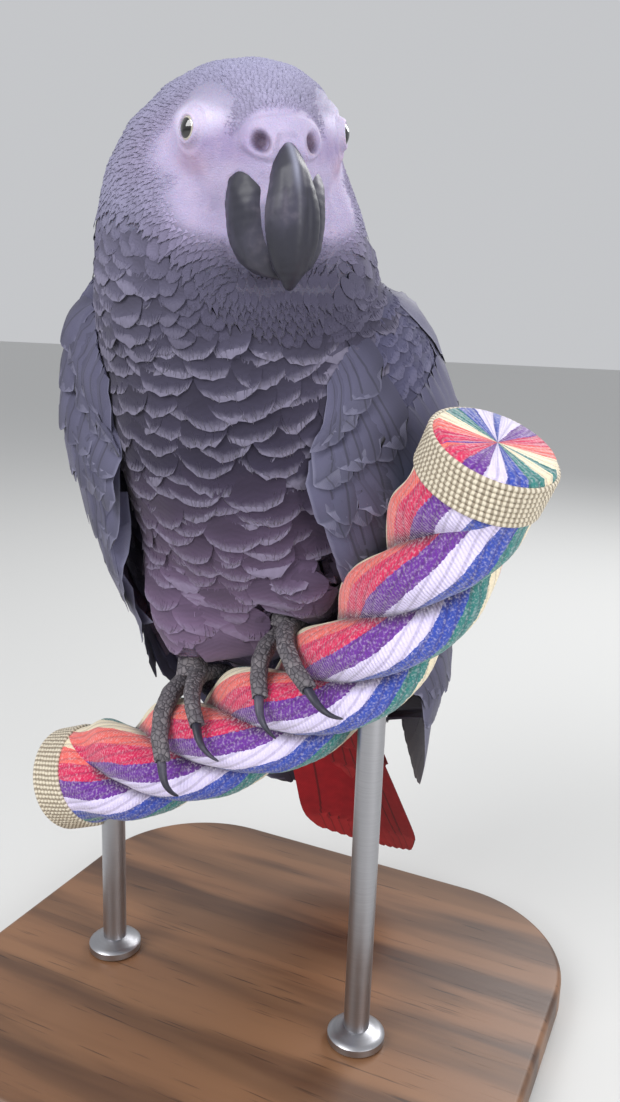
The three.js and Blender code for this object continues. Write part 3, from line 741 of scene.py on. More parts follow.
def fringe(name, net, out, grid, roots, told, barbs, reach, width, most_raised):
    """Fine split ends: thin pointed slips that leave each vane's outer half and pass its tip."""
    rows, columns = grid
    count = len(net)
    net = net.reshape(count, rows + 1, columns + 1, 3)
    c0 = np.linspace(-0.9, 0.9, barbs) + rng.normal(0, 0.07, (count, barbs))
    c1 = c0 * 1.04 + rng.normal(0, 0.1, (count, barbs))
    v0 = rng.uniform(0.7, 0.86, (count, barbs))
    v1 = 1 + rng.uniform(-0.04, reach, (count, barbs))
    raised = rng.uniform(0.2, 1, (count, barbs)) * most_raised
    vane = np.arange(count)[:, None]
    rings, places = [], []
    for q in SLIP_RINGS:
        v, c = v0 + (v1 - v0) * q, np.clip(c0 + (c1 - c0) * q, -1, 1)
        row, column = np.minimum(v, 1) * rows, (c + 1) / 2 * columns
        j, i = np.minimum(row.astype(int), rows - 1), np.minimum(column.astype(int), columns - 1)
        s, t = (row - j)[..., None], (column - i)[..., None]
        near = net[vane, j, i] * (1 - t) + net[vane, j, i + 1] * t
        ahead = net[vane, j + 1, i] * (1 - t) + net[vane, j + 1, i + 1] * t
        step = ahead - near
        at = near + step * s + step * rows * np.maximum(0, v - 1)[..., None]
        rings.append(at + out[:, None, :] * ((raised * q - 0.03) * MM)[..., None])
        places.append(np.stack([(c + 1) / 2, v], -1))
    way = unit((rings[2] - rings[0]).reshape(-1, 3)).reshape(count, barbs, 3)
    side = np.cross(way, out[:, None, :])
    top = out[:, None, :] * SLIP_THICK
    half = width[:, None, None] / 2 * MM
    points = []
    for ring, share in ((rings[0], 0.8), (rings[1], 1.0)):
        points += [ring - side * half * share, ring + top, ring + side * half * share]
    points.append(rings[2])
    co = np.stack(points, 2).reshape(count * barbs, 7, 3)
    faces = [[0, 1, 4, 3], [1, 2, 5, 4], [2, 0, 3, 5], [3, 4, 6], [4, 5, 6], [5, 3, 6], [2, 1, 0]]
    uv = np.stack([places[0]] * 3 + [places[1]] * 3 + [places[2]], 2).reshape(count * barbs, 7, 2)
    own = (uv - 0.5) * PATCH_SIZE
    patch = coat_middle(np.repeat(roots, barbs, axis=0))[:, None, :] + own
    told = {key: np.repeat(values, barbs, axis=0) for key, values in told.items()}
    told["chance"] = rng.random(count * barbs)
    o = joined_vanes(name, co, uv, patch, faces, told)
    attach(o, "root")
    return o


centres = form_points[form_faces].mean(1)
on_wing = near_parts(centres, ["wing_left", "wing_right"], 1.3 * MM)
on_bill = near_parts(centres, ["bill_upper", "bill_lower", "eye_left", "eye_right"], 1.7 * MM)
gape = on_head(centres)
on_bill |= (np.abs(gape[:, 0]) < 12) & (gape[:, 1] < -20) & (np.abs(gape[:, 2] + 7.5) < 11)
centre_heights = on_bird(centres)[:, 2]

# Small feathers of head and neck.
HEAD_TRIES, BODY_TRIES = 4.2, 0.7  # places tried to the square mm, before they are spaced
SMALL = 6.2  # mm, the length below which a feather belongs to the face
skull_part = ~on_wing & ~on_bill & (centre_heights > 118)
co, normals = scattered(HEAD_TRIES, skull_part)
bare = bare_face(co, 0.7, 1.25)
keep = rng.random(len(co)) > ramp(bare, 0.3, 0.95)
co, normals = co[keep], normals[keep]
lie, rank = body_lie(co)
skull, bird = on_head(co), on_bird(co)
length = np.interp(skull[:, 1], (-34, -20, -5, 10, 24, 36), (3.0, 3.6, 4.3, 5.4, 7.4, 9.4))
under = ramp(skull[:, 2], -12, -26)
length = length + (np.maximum(length, 7) - length) * under
low_neck = ramp(bird[:, 2], 152, 124)
length = length + (13 - length) * low_neck
from_chin = np.linalg.norm(skull - CHIN_AT, axis=1)
length = np.minimum(length, np.interp(from_chin, (12, 20, 32, 44), (3.6, 5.6, 9, 13)))
length = length * (1 - 0.45 * bare_face(co, 0.9, 1.8))
slim = np.interp(length, (4, 6, 8, 12), (0.36, 0.55, 0.95, 1.15))
along = length * np.interp(length, (5, 8), (0.25, 0.32))
across = length * slim * np.interp(length, (5, 8), (0.6, 0.48))
picked = spaced(co, normals, lie, rank, along, across, 8)
co, normals, lie, length, slim = (a[picked] for a in (co, normals, lie, length, slim))
tones = markings(co) * (1 + rng.normal(0, 0.035, (len(co), 1)))
edge = 0.05 + 0.65 * ramp(length, 7, 11)
tip = np.interp(length, (3, 6, 12), (0.08, 0.22, 0.9))
# How strongly each vane's covered root is painted in shade.
depth = 0.12 + 0.88 * ramp(length, 5.5, 10)
size = np.stack([length, length * slim], 1)
told = {"tone": tones, "edge": edge, "depth": depth}
small = length < SMALL
face_feathers, face_fringe = lay_feathers(
    "feathers_head",
    *(a[small] for a in (co, normals, lie, size, tip + 0.17)),
    {key: values[small] for key, values in told.items()},
    grid=(4, 2),
    sink=0.7,
    camber=0.015,
    ragged=0.04,
    shape={"tip_width": 0.45, "tip_round": 0.35},
    fringe_of=(3, 0.2, 0.2, 0.06),
)
neck_feathers, neck_fringe = lay_feathers(
    "feathers_neck",
    *(a[~small] for a in (co, normals, lie, size, tip + 0.4)),
    {key: values[~small] for key, values in told.items()},
    grid=(5, 6),
    sink=1.0,
    camber=0.018,
    ruffle=0.25,
    ragged=0.03,
    shape={"tip_width": 0.74, "tip_round": 0.17},
    fringe_of=(12, 0.06, 0.045, 0.05),
)

# Contour feathers of breast, belly, back and thighs.
BREAST_SHAPE = {"root_width": 0.5, "widest": 0.5, "tip_width": 0.76, "tip_round": 0.18}
trunk_part = ~on_wing & ~on_bill & (centre_heights <= 121)
co, normals = scattered(BODY_TRIES, trunk_part)
lie, rank = body_lie(co)
bird = on_bird(co)
length = np.interp(bird[:, 2], (-40, -10, 10, 40, 100, 121), (11, 13, 15, 14, 14, 12.5))
picked = spaced(co, normals, lie, rank, length * 0.4, length * 0.55, 12)
co, normals, lie, length = (a[picked] for a in (co, normals, lie, length))
bird = on_bird(co)
tones = markings(co) * (1 + rng.normal(0, 0.05, (len(co), 1)))
edge = 0.35 + 0.65 * ramp(bird[:, 2], 25, 65)
tip = 0.5 + 0.5 * ramp(bird[:, 2], 20, 60)
size = np.stack([length, length * rng.uniform(1.15, 1.45, len(co))], 1)
body_feathers, body_fringe = lay_feathers(
    "feathers_body",
    *(co, normals, lie, size, tip),
    {"tone": tones, "edge": edge, "depth": np.ones(len(co))},
    grid=(5, 8),
    sink=1.3,
    camber=0.018,
    ruffle=0.4,
    ragged=0.025,
    shape=BREAST_SHAPE,
    fringe_of=(14, 0.06, 0.035, 0.05),
    bend=np.where(bird[:, 2] < 45, -0.3, 0.25),
)


def feather_paint(name, scale, detail):
    """A finish for vanes, with what it is made from: places on a vane, its chance and a soft noise."""
    paint = Paint(name)
    vane_map = paint.node("UVMap", {"uv_map": "vane"}, {})
    across, along = paint.part(vane_map, "X"), paint.part(vane_map, "Y")
    noise = paint.noise(paint.place(), scale, detail)
    return paint, across, along, (across * 2 - 1).size(), paint.said("chance"), noise


paint, across, along, off_shaft, chance, split = feather_paint("plumage", 900, 2)
barb = (along * 50 - off_shaft * 14 + chance * 40 + split * 4).wave()
rim = paint.band(along + split * 0.12, 0.84, 1.06) * paint.said("edge")
tone = paint.said("tone", "Color")
# Each vane is painted darker towards its covered root, as painted shade under the vane that lies over it;
# depth tells how strongly.
painted_shade = tone.washed(paint.said("depth") * 0.42, 20, 16, 26)
dark = paint.mix(paint.band(along, 0.45, 0.9), painted_shade, tone)
pale = tone.washed(0.28, 186, 180, 206)
tone = paint.mix(rim, dark, pale)
tone = tone.washed(0.06 + barb * 0.04, 30, 28, 38)
coat = (face_feathers, face_fringe, neck_feathers, neck_fringe, body_feathers, body_fringe)
paint.finish(
    *coat,
    Base_Color=tone,
    Roughness=0.78 + split * 0.12,
    Normal=paint.bump(barb * 0.4 + split * 0.9, 0.4, 0.12 * MM),
    Specular_IOR_Level=0.2,
    Sheen_Weight=0.1,
    Sheen_Roughness=0.5,
)

# ---------------------------------------------------------------- wings
# Each folded wing is closed over the flank: small coverts over the wrist and arm, longer coverts below
# them, then the secondaries, and under those the ten long primaries that reach down past the rump.
WING_ROWS = [
    [34, -9, 123, 0.75, -0.45, 0.45, 7, 34, 4],
    [44, -2, 115, 0.92, -0.3, 0.2, 23, 38, 7],
    [51, 8, 101, 0.99, -0.05, 0.1, 36, 42, 8],
    [53.5, 20, 81, 0.99, 0.06, 0.04, 43, 43, 8],
    [53, 33, 57, 0.96, 0.22, 0, 44, 43, 7],
    [47, 51, 30, 0.85, 0.5, -0.1, 36, 42, 6],
    [41.5, 60, 3, 0.8, 0.55, -0.1, 29, 42, 5],
    [34.5, 70, -22, 0.78, 0.6, -0.05, 19, 42, 3.5],
    [28.5, 77, -44, 0.8, 0.6, 0, 9, 42, 2.2],
    [26, 80, -54, 0.8, 0.6, 0, 2.5, 42, 1],
]  # middle of the outer face, the way it looks, half chord, bend and thickness, from wrist to tip
WING_SET = {"left": ((0, 0, 0), -3, (6, -5, 6)), "right": ((-10, -4, 6), -6, (7, 0, -10))}
TIP_FROM = 0.4  # where the set of the wing's tip begins
SIDES = {"left": 1, "right": -1}
QUILL_ROOT, QUILL_HOLD, QUILL_COLUMNS = 0.35, 0.75, 6  # width at the root, where the tip begins, and cells
QUILL_CAMBER, QUILL_OVERLAP = 0.35, 0.3  # how far a vane is cupped, and its hind edge tucked in, in mm
SHAFT_HEIGHT, SHAFT_WIDTH = 0.28, 0.16  # in mm, and as a share of half the vane
PRIMARY_TIPS = (0.93, 0.982, 1.0, 0.985, 0.958, 0.925, 0.892, 0.862, 0.836, 0.812)  # how far down the wing
SECONDARIES = 14
GREATER_ROWS = ((0.32, 0.51, 5.6), (0.26, 0.415, 5.4), (0.2, 0.33, 5))  # t at root and tip, and half width
SCAPULAR_ROWS = (
    (0.34, 0.74, 7.5), (0.3, 0.66, 7.5), (0.25, 0.56, 7.5), (0.19, 0.46, 7),
    (0.13, 0.36, 6.5), (0.07, 0.27, 6), (0.02, 0.18, 6),
)
SCAPULAR_REACH = {"left": 0.6, "right": 0.8}  # how far they spread over the back, in half chords
MARGINAL_ROWS = (
    (0.52, 0.72), (0.45, 0.64), (0.38, 0.56), (0.31, 0.48), (0.24, 0.4),
    (0.17, 0.32), (0.1, 0.24), (0.03, 0.16), (0, 0.09),
)
MARGINAL_WIDTH = 5.8
EDGE_AT = 38  # mm forward of a wing's middle line, where the marginal coverts draw together
ROWS_LEFT_OFF = {"left": 1, "right": 0}  # the right wing stands off further and has one more row of each


def smooth_table(rows, t):
    """Smooth values between the rows of a table, the columns taken three by three as places."""
    rows = np.array(rows, float)
    last = len(rows) - 1
    rows = np.concatenate([[2 * rows[0] - rows[1]], rows, [2 * rows[-1] - rows[-2]]])
    at = np.clip(t, 0, 1) * last
    i = np.minimum(at.astype(int), last - 1)
    w = (at - i)[:, None]
    found = []
    for k in range(0, rows.shape[1], 3):
        p = [rows[i + j, k : k + 3] for j in range(4)]
        d = [np.maximum(((p[j + 1] - p[j]) ** 2).sum(1, keepdims=True) ** 0.25, 1e-4) for j in range(3)]
        start = (p[1] - p[0]) / d[0] - (p[2] - p[0]) / (d[0] + d[1]) + (p[2] - p[1]) / d[1]
        end = (p[2] - p[1]) / d[1] - (p[3] - p[1]) / (d[1] + d[2]) + (p[3] - p[2]) / d[2]
        start, end = start * d[1], end * d[1]
        cubic = 2 * (p[1] - p[2]) + start + end
        square = 3 * (p[2] - p[1]) - 2 * start - end
        found.append(((cubic * w + square) * w + start) * w + p[1])
    return np.concatenate(found, 1)


def wing_places(hand, t, aside, lift):
    """Places on a wing: t from wrist to tip, aside in mm towards the back, lift in mm out from it."""
    shape = t.shape
    t, aside, lift = (a.ravel() for a in (t, aside, lift))
    row = smooth_table(WING_ROWS, t)
    down = unit(smooth_table(WING_ROWS, t + 0.01)[:, :3] - smooth_table(WING_ROWS, t - 0.01)[:, :3])
    chord = unit(np.cross(row[:, 3:6], down))
    out = unit(np.cross(down, chord))
    wrist, outward, tip = WING_SET[hand]
    t = np.clip(t, 0, 1)
    shift = np.zeros((len(t), 3))
    shift[:, 0] = outward * np.sin(np.pi * np.sqrt(t))
    shift += np.array(wrist) * (1 - t)[:, None] ** 3 + np.array(tip) * ramp(t, TIP_FROM, 1)[:, None]
    bend = row[:, 7]
    turn = aside / bend
    radius = bend + lift
    p = row[:, :3] + chord * (radius * np.sin(turn))[:, None]
    p = p + out * (radius * np.cos(turn) - bend)[:, None]
    p[:, 0] *= SIDES[hand]
    return ((p + shift + BIRD_AT) * MM).reshape(*shape, 3)


def quill_outline(rows, tip):
    """A long feather's shares along and across, and its half width at each place."""
    v, c = vane_grid(rows, QUILL_COLUMNS)
    width = QUILL_ROOT + (1 - QUILL_ROOT) * ramp(v, 0, 0.3)
    past = np.clip((v - QUILL_HOLD) / (1 - QUILL_HOLD), 0, 1)
    width = width * np.sqrt(1 - past**2 * (1 - tip**2))
    return v.ravel(), c.ravel(), width.ravel()


def clear_of_body(co, gap, slack):
    """Places moved to lie over the body's form by at least a gap, in mm, and at most a slack above that."""
    flat = co.reshape(-1, 3)
    gaps = (gap * MM).ravel().tolist()
    most = ((gap + slack) * MM).ravel().tolist()
    for i, place in enumerate(flat.tolist()):
        at, way, _, far = form_tree.find_nearest(place)
        if (Vector(place) - at).dot(way) < gaps[i]:
            flat[i] = at + way * gaps[i]
        elif far > most[i]:
            flat[i] = at + (Vector(place) - at) * (most[i] / far)
    return flat.reshape(co.shape)


def quills(name, rows, tracks, where, tip=0.45, clear=True, edge=0.0):
    """Joins long feathers in one piece. A track holds t, aside and lift at root and tip, and half width."""
    v, c, width = quill_outline(rows, tip)
    t0, t1, a0, a1, l0, l1, half = (np.array([k[i] for k in tracks])[:, None] for i in range(7))
    count = len(tracks)
    curve = rng.normal(0, 0.6, (count, 1))
    short = 1 - (0.10 + 0.08 * (edge > 0)) * c**2 * v**4 - 0.03 * (1 + c) * v**4
    t = t0 + (t1 - t0) * v * short
    aside = a0 + (a1 - a0) * v**1.1 + c * width * half + curve * np.sin(np.pi * v)
    shaft = SHAFT_HEIGHT * ridge(c, 0, SHAFT_WIDTH) * (1 - v)
    lift = l0 + (l1 - l0) * v + QUILL_CAMBER * (1 - c * c) + shaft - QUILL_OVERLAP * np.maximum(0, c)
    co = where(t, aside, lift)
    if clear:
        co = clear_of_body(co, lift, 0.8 + 7 * v)
    index = np.arange(count)[:, None]
    patch_v = np.broadcast_to(v, (count, len(v)))
    patch = np.stack([(index + 0.5 + 0.42 * c) / count, 0.04 + 0.92 * patch_v], 2)
    told = {"chance": rng.random(count), "edge": np.full(count, edge)}
    uv = np.stack([(c + 1) / 2, v], 1)
    o = joined_vanes(name, co, uv, patch, vane_faces(rows, QUILL_COLUMNS), told)
    crease_rims(o, rows, QUILL_COLUMNS)
    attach(o, "root")
    return o


def half_chord(t):
    return smooth_table(WING_ROWS, np.array([t]))[0, 6]


flight_pieces = []
for hand in SIDES:
    # Ten primaries, and fourteen secondaries over them.
    place = lambda t, aside, lift, hand=hand: wing_places(hand, t, aside, lift)
    k = np.linspace(0, 1, len(PRIMARY_TIPS))
    asides, lifts = (-27 + 46 * k, -5.5 + 31 * k), (-2.4 + 1.8 * k, -1.1 + 1.6 * k)
    tracks = np.stack([np.full(len(k), 0.47), PRIMARY_TIPS, *asides, *lifts, 6.8 - 0.4 * k], 1)
    primaries = quills("primaries_" + hand + "_vanes", 20, tracks, place, clear=False)
    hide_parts("primaries_" + hand)
    k = np.linspace(0, 1, SECONDARIES)
    tips = np.interp(k, (0, 0.55, 0.75, 1), (0.80, 0.785, 0.75, 0.62))
    asides, lifts = (-31 + 62 * k, -17 + 37 * k), (-0.7 + 0.9 * k, 0.2 + 1.1 * k)
    tracks = np.stack([np.full(len(k), 0.38), tips, *asides, *lifts, np.full(len(k), 7.4)], 1)
    secondaries = quills("secondaries_" + hand, 18, tracks, place, tip=0.55)
    # Greater coverts, and two rows of shorter ones that lie over their roots.
    tracks = []
    for row, (t0, t1, half) in enumerate(GREATER_ROWS):
        for k in np.linspace(0, 1, 15 - row % 2):
            tip_at = t1 - 0.04 * abs(k - 0.4) + rng.normal(0, 0.003)
            aside = (68 - 2 * row) * k - 34 + 2.4 * (row % 2)
            tracks.append([t0, tip_at, aside, aside * 0.9, -0.4 + 0.5 * k, 1.1 + 0.5 * row + 0.7 * k, half])
    coverts = quills("greater_coverts_" + hand, 8, np.array(tracks), place, tip=0.66, edge=1.0)
    # Scapulars and the innermost flight feathers close over the wing's hind edge on to the back.
    tracks = []
    for row, (t0, t1, half) in enumerate(SCAPULAR_ROWS[: len(SCAPULAR_ROWS) - ROWS_LEFT_OFF[hand]]):
        wide = SCAPULAR_REACH[hand] * (1 + 0.14 * max(0, row - 1))
        for k in np.linspace(0, 1, 7 - row % 2):
            share = 0.56 + wide * k + 0.065 * (row % 2)
            tip_at = t1 - 0.07 * k + rng.normal(0, 0.006)
            a0, a1 = share * half_chord(t0 + 0.04), share * half_chord(tip_at)
            tracks.append([t0, tip_at, a0, a1, 0.4 * k - 0.6, 1.1 + 0.2 * min(row, 3) + 0.4 * k, half])
    scapulars = quills("scapulars_" + hand, 12, np.array(tracks), place, tip=0.66, edge=1.0)
    # Marginal coverts wrap the wing's leading edge and close it against the breast.
    tracks = []
    for row, (t0, t1) in enumerate(MARGINAL_ROWS[: len(MARGINAL_ROWS) - ROWS_LEFT_OFF[hand]]):
        start, wide = {"left": (0.5, 0.42 + 0.02 * row), "right": (0.7, 0.5 + 0.02 * row**2)}[hand]
        for k in np.linspace(0, 1, 6 - row % 2):
            share = start + wide * k + 0.06 * (row % 2)
            tip_at = t1 + rng.normal(0, 0.006)
            a0, a1 = share * half_chord(t0 + 0.04), share * half_chord(tip_at)
            a0, a1 = (min(a, EDGE_AT + 0.4 * (a - EDGE_AT)) for a in (a0, a1))
            tracks.append([t0, tip_at, -a0, -a1, -0.6, 1.1 + 0.15 * row, MARGINAL_WIDTH])
    marginal = quills("marginal_coverts_" + hand, 8, np.array(tracks), place, tip=0.7, edge=0.6)
    flight_pieces += [primaries, secondaries, coverts, scapulars, marginal]

# Small and middle coverts lie over the arm, its leading edge and its inner side.
ARM_TRIES = 0.9
co, normals = scattered(ARM_TRIES, on_wing * (centre_heights > 4))
lie, rank = wing_lie(co)
bird = on_bird(co)
length = np.interp(bird[:, 2], (0, 40, 62, 85, 105, 125), (20, 19, 16, 12, 10, 8))
keep = (bird[:, 2] > 94) | (np.sign(bird[:, 0]) * normals[:, 0] < -0.1)
keep &= (bird[:, 2] > 92) | (np.abs(normals[:, 0]) > 0.4)
co, normals, lie, rank, length, bird = (a[keep] for a in (co, normals, lie, rank, length, bird))
picked = spaced(co, normals, lie, rank, length * 0.4, length * 0.46, 10)
co, normals, lie, length, bird = (a[picked] for a in (co, normals, lie, length, bird))
tones = stepped(bird[:, 2], [(0, (80, 79, 102)), (70, (76, 75, 101)), (125, (86, 85, 112))])
tones *= 1 + rng.normal(0, 0.05, (len(co), 1))
inner = np.sign(bird[:, 0]) * normals[:, 0] < 0.1
size = np.stack([length, length * np.where(inner, 0.45, 0.8)], 1)
tip = 0.5 + 0.02 * length + 1.0 * ramp(bird[:, 2], 112, 92) * ~inner
wing_feathers, wing_fringe = lay_feathers(
    "feathers_wings",
    *(co, normals, lie, size, tip),
    {"tone": tones, "edge": np.full(len(co), 0.3), "depth": np.full(len(co), 0.6)},
    grid=(5, 6),
    sink=0.6,
    camber=0.02,
    ruffle=0.15,
    ragged=0.02,
    shape=BREAST_SHAPE,
    fringe_of=(14, 0.03, 0.03, 0.05),
    bend=np.where(bird[:, 2] > 105, -0.8, 0.2),
)
for o in (wing_feathers, wing_fringe):
    o.data.materials.append(body_feathers.data.materials[0])

paint, across, along, off_shaft, chance, soft = feather_paint("flight_feather", 240, 3)
edge = paint.said("edge")
barb = (along * 420 - off_shaft * 60 + chance * 40 + soft * 5).wave()
tone = paint.mix(paint.band(across, 0.15, 0.95), linear(84, 83, 110), linear(53, 52, 74))
tone = tone.washed(edge * 0.3, 96, 93, 122)
dusk = paint.band(along, 0.45, 0.95) * (0.75 - edge * 0.65)
tone = tone.washed(dusk, 40, 40, 52)
tone = tone.washed(paint.band(across, 0.1, 0.0) * 0.6, 122, 121, 146)
rim = paint.band(along + off_shaft**2 * 0.1 + soft * 0.06, 0.98, 1.08) * edge
tone = tone.washed(soft * 0.25, 78, 77, 96)
tone = tone.washed(rim * 0.42, 146, 144, 170)
shaft_line = paint.band(off_shaft, 0.07, 0.02) * (0.8 - edge * 0.6)
tone = tone.washed(shaft_line, 26, 25, 30)
tone = tone.washed(0.05 + barb * 0.05, 20, 20, 26)
height = barb * 0.35 + paint.band(off_shaft, 0.08, 0.0) * 1.2
paint.finish(
    *flight_pieces,
    Base_Color=tone,
    Roughness=0.52 + soft * 0.16,
    Normal=paint.bump(height, 0.35, 0.12 * MM),
    Specular_IOR_Level=0.35,
    Sheen_Weight=0.1,
)

# ---------------------------------------------------------------- tail
# Twelve short scarlet tail feathers lie closed like a fan, the middle pair on top, with red coverts over
# and under their roots.
TAIL_ROOT, TAIL_TIP = np.array([4, 47, -2.0]), np.array([13, 86, -88.0])
TAIL_HALF, TAIL_WIDENING, TAIL_DROOP = (13, 26), 0.8, 5
TAIL_COVERT_ROWS = (
    (-0.02, 0.5, 1.7, 7), (-0.06, 0.36, 2.3, 7), (-0.1, 0.22, 2.8, 6.5),
    (-0.14, 0.16, 4, 6), (-0.16, 0.1, 5.2, 5.5),
)  # t at root and tip, height and half width
ROWS_BELOW = 3  # only the first rows lie on both sides
tail_way = unit((TAIL_TIP - TAIL_ROOT)[None])[0]
tail_back = unit(np.cross((1, 0, 0), tail_way)[None])[0]


def tail_places(t, aside, lift):
    """Places on the tail: t from root to tip, aside in mm to the bird's left, lift in mm upwards."""
    half = TAIL_HALF[0] + (TAIL_HALF[1] - TAIL_HALF[0]) * np.clip(t, 0, 1) ** TAIL_WIDENING
    middle = TAIL_ROOT + (TAIL_TIP - TAIL_ROOT) * t[..., None]
    co = middle + tail_back * (lift - TAIL_DROOP * (aside / half) ** 2)[..., None]
    co[..., 0] += aside
    return (co + BIRD_AT) * MM


tracks = []
for pair in (5, 4, 3, 2, 1, 0):  # from the outer pair, which lies lowest, to the middle pair
    share = (pair + 0.5) / 5.5
    for side in (-1, 1):
        level = 0.9 - 2.3 * share + 0.12 * side
        asides = (side * 8.5 * share, side * 17.5 * share)
        tracks.append([0.02, 0.985 - 0.07 * share**2, *asides, level, level * 0.45, 8.2])
tail_vanes = quills("tail_feathers", 16, tracks, tail_places, tip=0.62, clear=False)
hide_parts("tail")

tracks = []
for row, (root_at, tip_at, level, width) in enumerate(TAIL_COVERT_ROWS):
    for way in (1, -1) if row < ROWS_BELOW else (1,):
        for k in np.linspace(-1, 1, 7 - row % 2):
            reach = tip_at * (1 - 0.12 * k * k) + (0.06 if way < 0 else 0)
            asides, lifts = (k * 9, k * (15 - 2.5 * row)), (way * level, way * (level - 0.6))
            tracks.append([root_at, reach, *asides, *lifts, width])
tail_coverts = quills("tail_coverts", 8, tracks, tail_places, tip=0.5, clear=False)

paint, _, along, off_shaft, chance, soft = feather_paint("scarlet_feather", 200, 3)
barb = (along * 380 - off_shaft * 60 + chance * 40 + soft * 5).wave()
tone = paint.mix(soft, linear(178, 22, 34), linear(122, 12, 26))
tone = tone.washed(paint.band(along, 0.3, 0.0) * 0.5, 92, 18, 30)
tone = tone.washed(paint.band(off_shaft, 0.08, 0.02) * 0.7, 60, 12, 18)
tone = tone.washed(paint.band(along + off_shaft * 0.06, 0.93, 1.05) * 0.4, 206, 60, 60)
tone = tone.washed(0.04 + barb * 0.04, 60, 6, 12)
height = barb * 0.35 + paint.band(off_shaft, 0.08, 0.0) * 1.2
paint.finish(
    tail_vanes,
    tail_coverts,
    Base_Color=tone,
    Roughness=0.55 + soft * 0.15,
    Normal=paint.bump(height, 0.35, 0.12 * MM),
    Specular_IOR_Level=0.3,
    Sheen_Weight=0.1,
)

# ---------------------------------------------------------------- bill and claws
# Bill and claws are sheaths of dark horn over bone. The hooked upper bill closes over the deep scoop of the
# lower one, and both show fine growth lines and worn, lighter patches.
BILL_VOXEL = 0.5 * MM
horn_pieces = []
for node, rounds in (("bill_upper", 14), ("bill_lower", 12)):
    o = fused([node], node + "_sheath", BILL_VOXEL, 0.1 * MM, rounds)
    co = points_of(o)
    normals = normals_of(o)
    x, y, z = on_head(co).T
    if node == "bill_upper":
        # A soft keel runs down the ridge, and a shallow groove on each side of it.
        front = ramp(y, -30, -36)
        keel = 0.25 * ridge(x, 0, 0.9) - 0.18 * ridge(np.abs(x), 2.4, 0.9)
        # A painted highlight along the top of the ridge.
        apex = ridge(x, 0, 0.7) * ramp(z, -7, 0) * ramp(y, -28, -31)
        # The upper bill is painted darker towards its tip and at its sides: painted shade.
        tip = ramp(z, -12, -24) + 0.6 * ramp(np.abs(x), 3, 6)
        co += normals * ((keel * front + 0.02 * np.sin(z * 3.1 + np.abs(x)) * ramp(z, 0, -6)) * MM)[:, None]
    else:
        co += normals * ((0.03 * np.sin(z * 2.6 + y * 1.2)) * MM)[:, None]
        # The lower bill is painted darker towards its lowest part: painted shade.
        apex, tip = np.zeros(len(co)), ramp(z, -16, -24)
    set_points(o, co)
    tell(o, "apex", apex)
    tell(o, "tip", tip)
    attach(o, "root")
    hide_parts(node)
    horn_pieces.append(o)

TOE_NAMES = ("inner_front", "outer_front", "inner_back", "outer_back")
for hand in SIDES:
    for toe in TOE_NAMES:
        node = f"claw_{hand}_{toe}"
        o = copy_of(node, node + "_horn")
        modify(o, "SUBSURF", levels=2, render_levels=2)
        smooth_faces(o.data)
        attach(o, "root")
        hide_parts(node)
        horn_pieces.append(o)

paint = Paint("horn")
place = paint.place()
worn = paint.noise(place, 70, 4)
fleck = paint.noise(place, 420, 3)
grown = (paint.part(place, "Z") * 2600 + worn * 14).wave()
streak = paint.noise(paint.node("Mapping", {}, {"Vector": place, "Scale": (900, 900, 90)}), 1, 2)
tone = paint.mix(paint.band(worn, 0.38, 0.72), linear(37, 37, 50), linear(66, 64, 81))
tone = tone.washed(paint.band(worn * 0.6 + fleck * 0.4, 0.52, 0.66) * 0.3, 110, 102, 114)
tone = tone.washed(paint.band(streak, 0.5, 0.8) * 0.3, 26, 26, 32)
# Painted shade, darkest at the bill's tip and on the upper bill's sides.
tone = tone.washed(paint.said("tip") * 0.55, 30, 30, 40)
# The painted highlight on the upper bill's ridge.
tone = tone.washed(paint.said("apex") * 0.55, 176, 178, 200)
height = grown * 0.05 + fleck * 0.4 + streak * 0.3
paint.finish(
    *horn_pieces,
    Base_Color=tone,
    Roughness=0.36 + fleck * 0.18 + worn * 0.1,
    Normal=paint.bump(height, 0.25, 0.12 * MM),
    Specular_IOR_Level=0.45,
    Coat_Weight=0.12,
    Coat_Roughness=0.3,
)

# ---------------------------------------------------------------- eyes
# Each eye is a glass ball set in the skull behind its lids. It has a black pupil in a narrow ring of pale
# straw, under a clear, wet cornea that stands a little proud.
PUPIL, IRIS, CORNEA_RISE = 2.2, 2.9, 0.35
for hand, side in SIDES.items():
    centre, way = eye_on(side)
    bpy.ops.object.select_all(action="DESELECT")
    bpy.ops.mesh.primitive_uv_sphere_add(segments=64, ring_count=48, radius=EYE_RADIUS * MM)
    eye = bpy.context.object
    eye.name = "eye_glass_" + hand
    local = points_of(eye) / MM
    turn = Vector((0, 0, 1)).rotation_difference(Vector(way))
    local = local @ np.array(turn.to_matrix()).T
    height = local @ way
    off = np.linalg.norm(local - height[:, None] * way, axis=1)
    off = np.where(height > 0, off, 2 * EYE_RADIUS)
    local += way * (CORNEA_RISE * (1 - ramp(off, 0, IRIS + 0.6)))[:, None]
    set_points(eye, from_head(local + centre))
    smooth_faces(eye.data)
    tell(eye, "off_axis", off)
    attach(eye, "root")
    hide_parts("eye_" + hand)

    paint = Paint("glass_eye_" + hand)
    off_axis = paint.said("off_axis")
    fibres = paint.noise(paint.place(), 1800, 3)
    tone = paint.mix(fibres, linear(214, 208, 190), linear(150, 146, 132))
    tone = tone.washed(paint.band(off_axis, PUPIL + 0.14, PUPIL - 0.06), 9, 8, 10)
    tone = tone.washed(paint.band(off_axis, IRIS - 0.3, IRIS + 0.1), 40, 34, 38)
    paint.finish(
        eye,
        Base_Color=tone,
        Roughness=0.08 + fibres * 0.04,
        Coat_Weight=1.0,
        Coat_Roughness=0.03,
        Specular_IOR_Level=0.5,
    )

